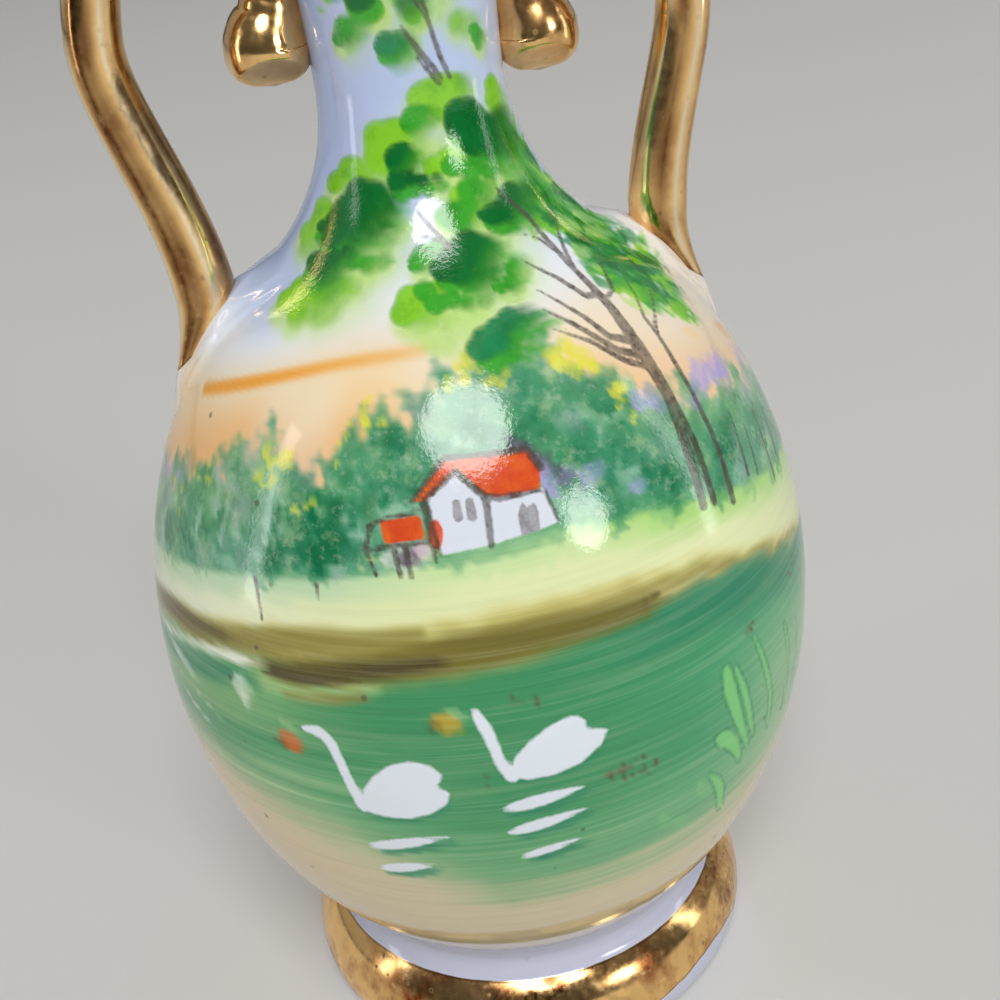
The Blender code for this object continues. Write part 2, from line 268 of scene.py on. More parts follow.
def handleCourse(h, lift):
    # middle line and thickness of the rod, in the plane of reach and height
    root = np.array((float(radiusAt(rootLevel)) - h["rootSink"], rootLevel))
    bend = np.array((h["bendReach"] + lift / 3, neckLevel + h["bendRise"] + lift))
    top = np.array((h["topReach"], neckLevel + h["topRise"] + lift))
    end = np.array((vase["neckRadius"] + h["endFlare"] * h["thickness"] / 2 - h["scrollBite"], scrollLevel + lift))
    climb, arch, fall, inward = bend[1] - root[1], top[1] - bend[1], top[1] - end[1], top[0] - end[0]
    leave = np.array(h["leave"]) * h["rootPull"] * climb
    parts = [
        bezierLine(root, root + leave, bend - (0, h["bendDown"] * climb), bend, h["stations"]),
        bezierLine(bend, bend + (0, h["bendUp"] * arch), top + (h["topOut"] * (bend[0] - top[0]), 0), top,
                   h["stations"]),
        bezierLine(top, top - (h["topIn"] * inward, 0), end + (-h["endDrift"] * inward, h["endPull"] * fall), end,
                   h["stations"]),
    ]
    line = np.concatenate([parts[0], parts[1][1:], parts[2][1:]])
    share = np.concatenate([
        np.interp(np.linspace(0, 1, len(parts[0])), h["swellPlaces"], h["swells"]),
        np.linspace(1, h["topShare"], len(parts[1]))[1:],
        np.linspace(h["topShare"], h["endFlare"], len(parts[2]))[1:]])
    radius = share * h["thickness"] / 2
    thin = h["rootThin"] * ease(rootLevel - line[:, 1], -h["rootThinRise"], -0.3)
    thin *= np.arange(len(line)) < h["stations"]
    radius = radius - thin
    line[:, 0] += thin

    # the rod's end runs on as a drop that bulges away from the neck and closes below
    middle = scrollLevel + lift
    keep = ~((line[:, 1] < middle + h["strapEnd"]) & (np.arange(len(line)) > 2 * h["stations"]))
    line, radius = line[keep], radius[keep]
    start, bottom = line[-1, 1], middle - h["scrollLength"] / 2
    levels = bottom + (start - bottom) * np.sin(np.linspace(math.pi / 2, 0, 2 * h["stations"])[1:])
    rise = (levels - middle) / (h["scrollLength"] / 2)
    swell = levels - middle + h["bellDrop"]
    below = np.abs(swell) / (h["scrollLength"] / 2 - h["bellDrop"])
    above = swell / (h["scrollLength"] / 2 + h["bellDrop"])
    ball = h["scrollRadius"] * np.sqrt(np.clip(1 - np.where(swell < 0, below ** 2.7, np.abs(above) ** 1.7), 0, 1))
    strap = radius[-1] * ease(rise, -0.1, 0.8)
    wide = np.maximum((np.maximum(ball, 0) ** 5 + strap ** 5) ** 0.2, h["tipRadius"])
    wide = np.where(rise < 0, np.maximum(ball, h["tipRadius"]), wide)
    innerSide = vase["neckRadius"] - h["scrollBite"]
    startSide = line[-1, 0] - radius[-1]
    side = innerSide + (startSide - innerSide) * ease(levels, middle, start)
    centre = np.where(rise < 0, innerSide + h["scrollRadius"], side + wide)

    # below the root a thin tail sinks into the body
    share = np.arange(h["tailRings"], 0, -1) / h["tailRings"]
    tailLevels = rootLevel - h["tailLength"] * share
    stand = line[0, 0] + radius[0] - float(radiusAt(rootLevel))
    tail = radius[0] + (h["tailRadius"] - radius[0]) * share
    tailCentre = radiusAt(tailLevels) + stand * (1 - share) ** 1.1 - 0.1 * share - tail
    line = np.concatenate([np.stack([tailCentre, tailLevels], 1), line, np.stack([centre, levels], 1)])
    return line, np.concatenate([tail, radius, wide])


def newMeshObject(name, form):
    mesh = bpy.data.meshes.new(name)
    form.to_mesh(mesh)
    form.free()
    mesh.shade_smooth()
    thing = bpy.data.objects.new(name, mesh)
    bpy.context.scene.collection.objects.link(thing)
    return thing


def meshPoints(thing):
    flat = np.zeros(len(thing.data.vertices) * 3)
    thing.data.vertices.foreach_get("co", flat)
    return flat.reshape(-1, 3) / mm


def keepValues(thing, name, values):
    layer = thing.data.attributes.new(name, "FLOAT", "POINT")
    layer.data.foreach_set("value", np.asarray(values, np.float32))


def makeHandle(name, side, lift, h):
    line, radius = handleCourse(h, lift)
    along = np.gradient(line, axis=0)
    along /= np.linalg.norm(along, axis=1)[:, None]
    form = bmesh.new()
    bmesh.ops.create_circle(form, cap_ends=True, segments=h["sides"], radius=1)
    ring = [e for e in form.edges]
    before = Matrix.Identity(4)
    for i, (place, way, size) in enumerate(zip(line, along, radius)):
        outward = Vector((way[1] * side, 0, -way[0]))
        turn = Matrix((outward, Vector((0, 1, 0)), Vector((way[0] * side, 0, way[1])))).transposed().to_4x4()
        station = Matrix.Translation(Vector((place[0] * side, 0, place[1])) * mm) @ turn
        station = station @ Matrix.Scale(size * mm, 4)
        if i:
            made = bmesh.ops.extrude_edge_only(form, edges=ring)["geom"]
            corners = [g for g in made if isinstance(g, bmesh.types.BMVert)]
            old = set(ring)
            ring = [g for g in made if isinstance(g, bmesh.types.BMEdge) and all(v in corners for v in g.verts)]
            ring = [e for e in ring if e not in old]
        else:
            corners = list(form.verts)
        bmesh.ops.transform(form, matrix=station @ before.inverted(), verts=corners)
        before = station
    bmesh.ops.holes_fill(form, edges=ring, sides=0)
    bmesh.ops.remove_doubles(form, verts=form.verts, dist=0.001 * mm)
    bmesh.ops.recalc_face_normals(form, faces=form.faces)

    # the two slanting flats under the drop
    middle = Vector(((vase["neckRadius"] + h["scrollRadius"] - h["scrollBite"]) * side, 0, scrollLevel + lift)) * mm
    turn = math.radians(h["facetTurn"])
    for vert in form.verts:
        if (vert.co - middle).length > h["facetReach"] * mm:
            continue
        for way in (-1, 1):
            down = Vector((0, way * math.sin(turn), -math.cos(turn)))
            over = (vert.co - middle).dot(down) - h["facetDepth"] * mm
            if over > 0:
                vert.co -= down * over * (1 - h["facetCrown"])
    thing = newMeshObject(name, form)
    facing = np.zeros(len(thing.data.vertices) * 3)
    thing.data.vertices.foreach_get("normal", facing)
    facing = facing.reshape(-1, 3)
    across = facing[:, 0] * side
    p = meshPoints(thing)
    rows = h["bands"]["left" if side < 0 else "right"]
    # painted dark reflections and painted highlights, set by which way each point of the rod faces
    bands = sum(depth * np.exp(-(((across - at) / wide) ** 2)) for at, wide, depth in rows)
    flat = np.hypot(facing[:, 0], facing[:, 1]) * ease(np.abs(p[:, 0]), *h["bandStart"])
    keepValues(thing, "paintedReflectionBand", np.clip(bands * flat * (0.9 + 0.2 * ripple(p, 5, 14)), -1, 1))
    boundary = h["giltOuter"] + (h["giltOuterReach"] - np.abs(p[:, 0])) * h["giltSlope"]
    keepValues(thing, "giltReach", np.clip(p[:, 2] - boundary, -3, 3))
    return thing


handles = {}
for word, side in (("left", -1), ("right", 1)):
    handles[word] = makeHandle(word + "Handle", side, handle["lifts"][word], handle)
print("handles swept")


# The porcelain itself: one closed shell, with fine cells where the picture is painted

# angles from and to, heights from and to, and how often each column is divided
fineParts = ((-104, 106, 41, 59.5, 4), (-100, 100, 59.5, 64, 2), (-100, 100, 64, 76, 1), (-66, 62, 22, 39, 3))
rowSpacing = ((200, 78, 1.1), (78, 41, 0.27), (41, 0, 0.36))  # height from, height to, distance of the rows
pad = {
    "rise": 0.6, "ridge": 0.14,
    "levels": (50.5, 52.6, 54.8, 57.7, 60.0), "widths": (0.3, 1.0, 2.6, 4.1, 4.6),
    "low": 48, "high": 64, "fadeIn": (50.2, 53.0), "fadeOut": (56.2, 58.8),
    "fillet": 0.32, "filletWidth": 0.5, "filletReach": 1.12, "filletFade": (49.5, 51.5),
}


def angleOf(x, y):
    return np.degrees(np.arctan2(x, -y))


def makePorcelain(v):
    levels = outerLine[:, 1]
    upper = np.concatenate([evenly(outerLine[(levels <= high) & (levels > low)], gap)
                            for high, low, gap in rowSpacing])
    stem = evenly(stemLine(v), v["footCell"])
    foot = evenly(footLine(v), v["footCell"])
    hollow = hollowLine(v)
    lip = lipLine(upper[0], hollow[0])
    line = np.concatenate([hollow[::-1], lip, upper, stem[1:], foot[1:], underLine(v)])
    line[0, 0] = 0
    form = bmesh.new()
    corners = [form.verts.new((r * mm, 0, z * mm)) for r, z in line]
    edges = [form.edges.new(pair) for pair in zip(corners, corners[1:])]
    bmesh.ops.spin(form, geom=corners + edges, cent=(0, 0, 0), axis=(0, 0, 1), angle=2 * math.pi,
                   steps=v["columns"], use_merge=True)
    bmesh.ops.remove_doubles(form, verts=form.verts, dist=0.01 * mm)
    bmesh.ops.recalc_face_normals(form, faces=form.faces)

    chosen = [set() for _ in fineParts]
    for edge in form.edges:
        a, b = (vert.co / mm for vert in edge.verts)
        middle = (a + b) / 2
        if abs(a.z - b.z) > 0.01 or math.hypot(middle.x, middle.y) < float(radiusAt(middle.z)) - skin:
            continue
        angle = math.degrees(math.atan2(middle.x, -middle.y))
        for edges, (start, end, low, high, _) in zip(chosen, fineParts):
            if low < middle.z < high and start < angle < end:
                edges.add(edge)
                break
    for edges, part in zip(chosen, fineParts):
        bmesh.ops.subdivide_edges(form, edges=list(edges), cuts=part[-1], use_grid_fill=True)

    for vert in form.verts:
        x, y, z = vert.co / mm
        r = math.hypot(x, y)
        true = float(radiusAt(z))
        if r > true - skin and v["paintedLow"] < z < v["paintedHigh"]:
            vert.co.x *= true / r
            vert.co.y *= true / r
    return newMeshObject("porcelainVase", form)


def raisePads(thing):
    # the swellings that the handles stand on, and the soft fillet of glaze round each root
    p = meshPoints(thing)
    r = np.hypot(p[:, 0], p[:, 1])
    onOutside = (r > radiusAt(p[:, 2]) - skin) & (p[:, 2] > pad["low"]) & (p[:, 2] < pad["high"])
    half = np.interp(p[:, 2], pad["levels"], pad["widths"])
    inside = half - np.abs(p[:, 1])
    ends = ease(p[:, 2], *pad["fadeIn"]) * (1 - ease(p[:, 2], *pad["fadeOut"]))
    lift = pad["rise"] * ease(inside, -0.15, 1.5) * ends
    lift += pad["ridge"] * np.exp(-(((inside - 0.25) / 0.28) ** 2)) * ends
    root = np.array((float(radiusAt(rootLevel)) - handle["rootSink"], rootLevel))
    way = np.array(handle["leave"]) / np.linalg.norm(handle["leave"])
    offset = np.stack([np.abs(p[:, 0]) - root[0], p[:, 2] - root[1]], 1)
    off = offset @ np.array((way[1], -way[0]))
    away = np.hypot(off, p[:, 1]) - handle["thickness"] / 2 * pad["filletReach"]
    lift += pad["fillet"] * np.exp(-np.clip(away, 0, 9) / pad["filletWidth"]) * ease(p[:, 2], *pad["filletFade"])
    lift *= onOutside * (np.abs(p[:, 0]) > 1)
    slope = np.gradient(wholeOutside[::-1, 0], wholeOutside[::-1, 1] + np.arange(len(wholeOutside)) * 1e-9)
    lean = np.interp(p[:, 2], wholeOutside[::-1, 1], slope)
    tall = np.sqrt(1 + lean * lean)
    p[:, :2] += p[:, :2] * (lift / tall / np.maximum(r, 0.1))[:, None]
    p[:, 2] += -lean * lift / tall
    thing.data.vertices.foreach_set("co", (p * mm).ravel())
    thing.data.update()


porcelain = makePorcelain(vase)
paintPoints = meshPoints(porcelain)  # places for the painting, before the pads rise
raisePads(porcelain)
print("porcelain shell has", sum(len(face.vertices) - 2 for face in porcelain.data.polygons), "triangles")


# The picture is laid on the shell's points, one wash and one dab at a time

sharpWords = ("reserve", "roof", "wall", "ink", "shade", "reed")
leafWords = ("leafLight", "leafMid", "leafTeal", "leafDark")


class Canvas:
    def __init__(self, points):
        self.points = points
        self.angle = angleOf(points[:, 0], points[:, 1])
        self.level = points[:, 2]
        self.radius = radiusAt(self.level)
        self.run = runAt(self.level)
        self.outside = np.hypot(points[:, 0], points[:, 1]) > self.radius - skin
        self.tone = np.tile(np.array(tones["white"], float), (len(points), 1))
        self.enamel = np.zeros(len(points))
        self.brushed = np.zeros(len(points))
        self.dabbed = np.zeros(len(points))
        self.edges = {word: np.full(len(points), 3.0) for word in sharpWords}
        self.edges.update({word: np.full(len(points), 8.0) for word in leafWords})
        self.fine = ripple(points, 0.9, 1)
        self.middle = ripple(points, 2.6, 2)
        self.broad = ripple(points, 9, 3)
        self.streak = ripple(points, 30, 4, (1, 1, 34))

    def lay(self, where, amount, tone, enamel=0.0):
        amount = np.clip(amount, 0, 1)
        self.tone[where] += (np.array(tones[tone], float) - self.tone[where]) * amount[:, None]
        if enamel:
            self.enamel[where] = np.maximum(self.enamel[where], amount * enamel)

    def wash(self, amount, tone, enamel=0.0):
        self.lay(self.outside, amount[self.outside], tone, enamel)

    def near(self, angle, level, reach):
        across = np.radians(self.angle - angle) * self.radius
        up = self.run - float(runAt(level))
        where = np.nonzero(self.outside & (np.abs(across) < reach) & (np.abs(up) < reach))[0]
        return where, across[where], up[where]

    def dab(self, angle, level, length, width, turn, tone, strength=0.9, tail=0.55, enamel=0.8, ragged=0.16):
        # a touch of the brush with a crisp round head and a tail that thins out
        where, across, up = self.near(angle, level, max(length, width))
        a = math.radians(turn)
        u = (across * math.cos(a) + up * math.sin(a)) / (length / 2)
        v = (-across * math.sin(a) + up * math.cos(a)) / (width / 2)
        away = np.sqrt(u * u + v * v) + ragged * self.fine[where] + ragged * 0.5 * self.middle[where]
        soft = 0.12 + 0.3 * np.clip(u * 0.5 + 0.5, 0, 1)
        amount = strength * ease(-away, -1 - soft, -1 + soft) * (1 - tail * ease(u, -0.3, 1.0))
        self.lay(where, amount * (0.86 + 0.14 * self.middle[where]), tone, enamel)

    def local(self, angle, level, reach):
        where, across, up = self.near(angle, level, reach)
        return where, np.stack([across, up], 1)

    def at(self, angle, level, place):
        # an angle and a height as a place near the given one
        return ((place[0] - angle) * math.pi / 180 * float(radiusAt(place[1])),
                float(runAt(place[1])) - float(runAt(level)))

    def spotAt(self, angle, level, across, up):
        # the angle and height of a place given in millimetres from another one
        height = float(np.interp(float(runAt(level)) + up, meridianRun[::-1], wholeOutside[::-1, 1]))
        return angle + math.degrees(across / float(radiusAt(height))), height

    def stroke(self, word, places, widths, reach=None):
        # a drawn line through places, its edge kept as a distance for the glaze to cut sharply
        middle = places[len(places) // 2]
        spread = max(math.hypot(*self.at(*middle, q)) for q in places) + 1.2
        where, local = self.local(*middle, reach or spread)
        ends = [np.array(self.at(*middle, q)) for q in places]
        widths = np.interp(np.linspace(0, 1, len(ends)), np.linspace(0, 1, len(widths)), widths)
        best = np.full(len(where), 9.0)
        for a, b, wa, wb in zip(ends, ends[1:], widths, widths[1:]):
            way = b - a
            t = np.clip(((local - a) @ way) / max(way @ way, 1e-9), 0, 1)
            d = np.linalg.norm(local - a - t[:, None] * way, axis=1) - (wa + (wb - wa) * t) / 2
            best = np.minimum(best, d)
        if word in self.edges:
            self.edges[word][where] = np.minimum(self.edges[word][where], best)
        return where, best

    def outline(self, word, angle, level, corners, turn=0.0):
        # a filled outline, given in millimetres round a place on the vase
        a = math.radians(turn)
        spin = np.array(((math.cos(a), math.sin(a)), (-math.sin(a), math.cos(a))))
        corners = np.array(corners, float) @ spin
        where, local = self.local(angle, level, np.abs(corners).max() + 1.5)
        inside = np.zeros(len(where), bool)
        best = np.full(len(where), 9.0)
        for a, b in zip(corners, np.roll(corners, -1, axis=0)):
            way = b - a
            t = np.clip(((local - a) @ way) / max(way @ way, 1e-9), 0, 1)
            best = np.minimum(best, np.linalg.norm(local - a - t[:, None] * way, axis=1))
            crosses = (a[1] > local[:, 1]) != (b[1] > local[:, 1])
            at = a[0] + (local[:, 1] - a[1]) * way[0] / (way[1] if abs(way[1]) > 1e-9 else 1e-9)
            inside ^= crosses & (local[:, 0] < at)
        best = np.where(inside, -best, best)
        if word:
            self.edges[word][where] = np.minimum(self.edges[word][where], best)
        return where, best


tones = {
    "white": (232, 235, 240), "skyBlue": (172, 192, 232), "skyLilac": (178, 184, 222), "peach": (244, 214, 164),
    "sunset": (236, 176, 112), "sunStroke": (236, 138, 6), "lilac": (180, 166, 228), "haze": (168, 176, 176),
    "treeTeal": (66, 146, 106), "treeDark": (10, 106, 64), "treeLight": (132, 184, 126),
    "treeMist": (172, 208, 186),
    "yellow": (228, 222, 74), "meadow": (226, 232, 178), "meadowGreen": (200, 226, 164),
    "meadowDeep": (158, 212, 108), "meadowWhite": (234, 238, 220),
    "bank": (140, 128, 54), "bankOlive": (108, 98, 22), "bankDark": (66, 54, 12), "bankLight": (204, 192, 112),
    "bankDusty": (146, 142, 112),
    "lake": (56, 142, 90), "lakeRight": (70, 158, 114), "lakeDark": (20, 124, 92), "lakeLight": (158, 198, 142),
    "lakeYellow": (188, 206, 136),
    # stem: the stem's pale blue-grey, darkened a little as painted shade
    "tan": (212, 196, 158), "tanRose": (228, 202, 166), "stem": (188, 190, 208), "stemLine": (120, 112, 130),
    "leafLight": (134, 204, 40), "leafMid": (58, 166, 44), "leafDark": (0, 106, 44), "leafTeal": (30, 134, 82),
    "leafPale": (186, 222, 122),
    "ink": (78, 68, 60), "roof": (216, 62, 10), "wall": (222, 226, 238), "reserve": (226, 232, 240),
    "reserveGreen": (170, 206, 142), "rootGlaze": (218, 208, 198),
    "reed": (124, 206, 118), "reedDark": (24, 116, 70), "bill": (220, 88, 10), "billYellow": (204, 160, 40),
    "shade": (138, 134, 136), "plum": (84, 62, 92), "plumPale": (214, 176, 206), "speck": (92, 66, 36),
}

# Heights of the picture's bands at places round the vase, the back plainer and level
bands = {
    "treeTop": ((-180, 46.4), (-120, 46.0), (-91, 46.0), (-80, 47.8), (-64, 49.6), (-53, 51.0), (-47, 51.8),
                (-42, 51.5),
                (-37, 50.3), (-33, 50.9), (-29, 52.0), (-25, 53.2), (-19, 53.8), (-12, 54.3), (-8, 55.0), (0, 55.6),
                (10, 55.3), (19, 55.0), (27, 53.2), (33, 51.6), (42, 50.8), (55, 50.0), (70, 48.4), (84, 47.4),
                (120, 46.6),
                (180, 46.4)),
    "treeBase": ((-180, 41.6), (-80, 42.0), (-45, 44.4), (-29, 45.0), (8, 46.6), (23, 45.8), (35, 44.9), (58, 42.9),
                 (80, 41.6), (180, 41.6)),
    "meadowLow": ((-180, 37.4), (-85, 38.5), (-40, 42.0), (-18, 42.4), (7, 43.1), (32, 42.0), (74, 36.6),
                  (180, 37.4)),
    "bankLow": ((-180, 35.6), (-90, 36.8), (-64, 38.4), (-43, 39.4), (-30, 39.0), (-4, 39.8), (12, 40.4),
                (30, 40.5),
                (45, 39.1), (59, 37.3), (90, 35.2), (180, 35.6)),
    "shoreLow": ((-180, 25.0), (-110, 28.0), (-63, 28.9), (-42, 27.1), (-32, 26.4), (-9, 21.4), (26, 21.6),
                 (60, 23.4),
                 (110, 25.0), (180, 25.0)),
}


def bandAt(word, angle):
    return np.interp(angle, *zip(*bands[word]))


def paintGround(c):
    # sky, sunset, meadow, bank, lake and shore, from the top down
    turned, z = c.angle, c.level + 0.35 * c.broad
    a = turned * ease(-np.abs(turned), -178, -84)  # falls back to nought behind, so that no seam shows
    c.wash(ease(z, 57.0, 63.5) * (0.80 + 0.12 * c.broad), "skyBlue")
    c.wash(0.45 * ease(z, 58.0, 66.0) * ease(-a, 0, 60), "skyLilac")
    c.wash(0.45 * ease(z, 60.0, 70.0) * ease(a, 25, 75), "white")
    c.wash(0.8 * ease(z, 74.0, 84.0), "white")
    treeTop = bandAt("treeTop", turned)
    left = 1 - 0.45 * ease(a, -20, 60)
    lower = z + 3.2 * ease(-a, 34, 62)
    glow = ease(-lower, -58.0, -54.0) * ease(z, treeTop - 6, treeTop - 4)
    c.wash(0.95 * glow * left, "peach")
    low = ease(-(z - treeTop), -3.6, 0.4) * ease(z, treeTop - 6, treeTop - 4)
    c.wash(0.75 * low * left * ease(-z, -55.0, -51.5), "sunset")
    c.wash(0.22 * glow * ease(c.broad, -0.3, 0.9), "white")
    base, meadow, bank, shore = (bandAt(w, turned) for w in ("treeBase", "meadowLow", "bankLow", "shoreLow"))
    z = c.level + 0.16 * c.streak + 0.12 * c.middle

    # meadow, whiter at the left and greener under the trees
    field = ease(-z, -base - 1.2, -base - 0.2)
    c.wash(field, "meadow")
    c.wash(0.7 * field * ease(-a, 15, 70), "meadowWhite")
    c.wash(0.75 * field * ease(z, meadow + 0.9, base), "meadowGreen")
    c.wash(0.7 * field * ease(z, base - 2.2, base - 0.3) * ease(a, -6, 26), "meadowDeep")
    c.wash(0.45 * field * ease(z, base - 1.8, base - 0.4) * ease(-a, 8, 34), "treeMist")
    c.brushed = np.maximum(c.brushed, 0.35 * field)
    c.enamel = np.maximum(c.enamel, 0.3 * field * ease(z, meadow - 0.5, meadow + 0.5))

    # bank, dark along two brush strokes, and the lake with its light and its depth
    shade = ease(-z, -meadow - 0.5, -meadow + 0.4)
    c.wash(shade * 0.75, "bankLight")
    share = np.clip((meadow - z) / np.maximum(meadow - bank, 0.5), 0, 1)
    c.wash(shade * ease(share, 0.0, 0.45) * (0.72 + 0.12 * c.streak), "bank")
    c.wash(shade * 0.55 * ease(a, 8, 24) * ease(share, 0.3, 0.8), "bankDusty")
    c.wash(shade * 0.5 * ease(share, 0.35, 0.6) * ease(-share, -0.8, -0.6) * ease(a, -48, -30), "bankLight")
    water = ease(-z, -bank - 0.9, -bank + 0.9)
    depth = bank - z
    c.wash(water, "lake")
    c.wash(water * 0.75 * ease(a, 2, 40) * ease(depth, 0.5, 4), "lakeRight")
    c.wash(water * 0.8 * ease(a, -8, 30) * ease(-depth, -4.5, -0.3), "lakeDark")
    c.wash(water * (0.62 + 0.25 * c.streak) * ease(-a, 4, 46) * ease(depth, 3.5, 9), "lakeLight")
    c.wash(water * 0.5 * ease(-a, 18, 50) * ease(depth, 0.6, 3) * ease(-depth, -6, -3), "lakeYellow")
    c.wash(water * 0.7 * ease(a, 24, 50) * ease(depth + 0.09 * a, 5.0, 12.0), "lakeLight")
    c.wash(water * 0.42 * ease(depth, 8.5, 15.0), "lakeLight")
    c.wash(water * 0.5 * ease(-depth, -1.6, -0.4) * ease(-a, 24, 40), "lakeYellow")
    fade = ease(-(z + 0.45 * c.streak), -shore - 4.2, -shore + 2.6)
    c.wash(fade * 0.97, "tan")
    c.wash(fade * ease(-a, 20, 70), "tanRose")
    # the stem's pale blue-grey, made a little darker as painted shade under the overhanging body
    c.wash(ease(-c.level, -11.3, -10.9), "stem")
    c.wash(0.6 * np.exp(-(((c.level - 10.9) / 0.16) ** 2)) * ease(c.middle, -0.9, 0.6), "stemLine")
    # the blue sky runs down the left shoulder to the handle; this wash is partly the sky's paint and partly painted
    # shade on the left side
    c.wash(0.75 * ease(c.level, 54.5, 57.5) * ease(-turned, 48, 64) * ease(turned, -165, -95), "skyBlue")
    c.brushed = np.maximum(c.brushed, np.clip(shade + water, 0, 1) * (1 - 0.45 * fade) * ease(c.level, 11, 12))
    c.enamel = np.maximum(c.enamel, 0.12 * shade * (1 - fade))


# Brush strokes of the bank: tone, strength, softness, widths, places
bankStrokes = (
    ("bank", 0.9, 0.5, (0.5, 1.2, 1.4, 1.5, 1.2, 0.6),
     ((-112, 36.4), (-86, 38.0), (-67, 39.6), (-57.5, 39.8), (-48.5, 40.2), (-42, 40.8), (-34.8, 41.3), (-27, 41.6),
      (-16, 42.0))),
    ("bankDark", 0.7, 0.45, (0.3, 1.0, 1.0, 0.8, 0.3), ((-108, 36.9), (-86, 38.2), (-70, 39.5), (-60, 39.8),
                                                        (-50, 40.1))),
    ("lakeDark", 0.6, 0.6, (1.4, 1.6, 1.2, 0.4), ((-80, 35.8), (-60, 37.2), (-52, 37.7), (-47, 38.1))),
    ("meadowWhite", 0.95, 0.22, (0.3, 0.5, 0.6, 0.3), ((-77, 37.0), (-61.3, 38.3), (-53.5, 38.8), (-47, 39.1),
                                                       (-43, 39.3))),
    ("lakeYellow", 0.7, 0.8, (1.2, 1.2, 0.6), ((-42, 38.2), (-34, 38.4), (-24, 38.9))),
    ("bankOlive", 0.92, 0.5, (0.9, 1.4, 1.6, 1.8, 2.0, 1.8, 1.2),
     ((-42.0, 39.2), (-38.5, 39.2), (-33, 39.5), (-27, 39.9), (-20, 40.3), (-13, 40.7), (-6, 40.95), (2, 41.1),
      (10, 41.0),
      (20, 40.8))),
    ("bankDark", 0.85, 0.32, (0.7, 1.2, 1.0, 0.5), ((-42.2, 39.15), (-37, 39.15), (-30, 39.5), (-22, 40.0),
                                                    (-13, 40.4))),
    ("bank", 0.7, 0.35, (0.25, 0.55, 0.4), ((-38.7, 37.7), (-33.8, 37.8), (-28.7, 38.0), (-25.4, 38.3))),
)


def paintBank(c):
    for word, strength, soft, widths, places in bankStrokes:
        where, distance = c.stroke("none", smoothPlaces(places, 4), widths, reach=30)
        c.lay(where, strength * ease(-distance, -soft, soft * 0.5) * (0.9 + 0.15 * c.streak[where]), word)


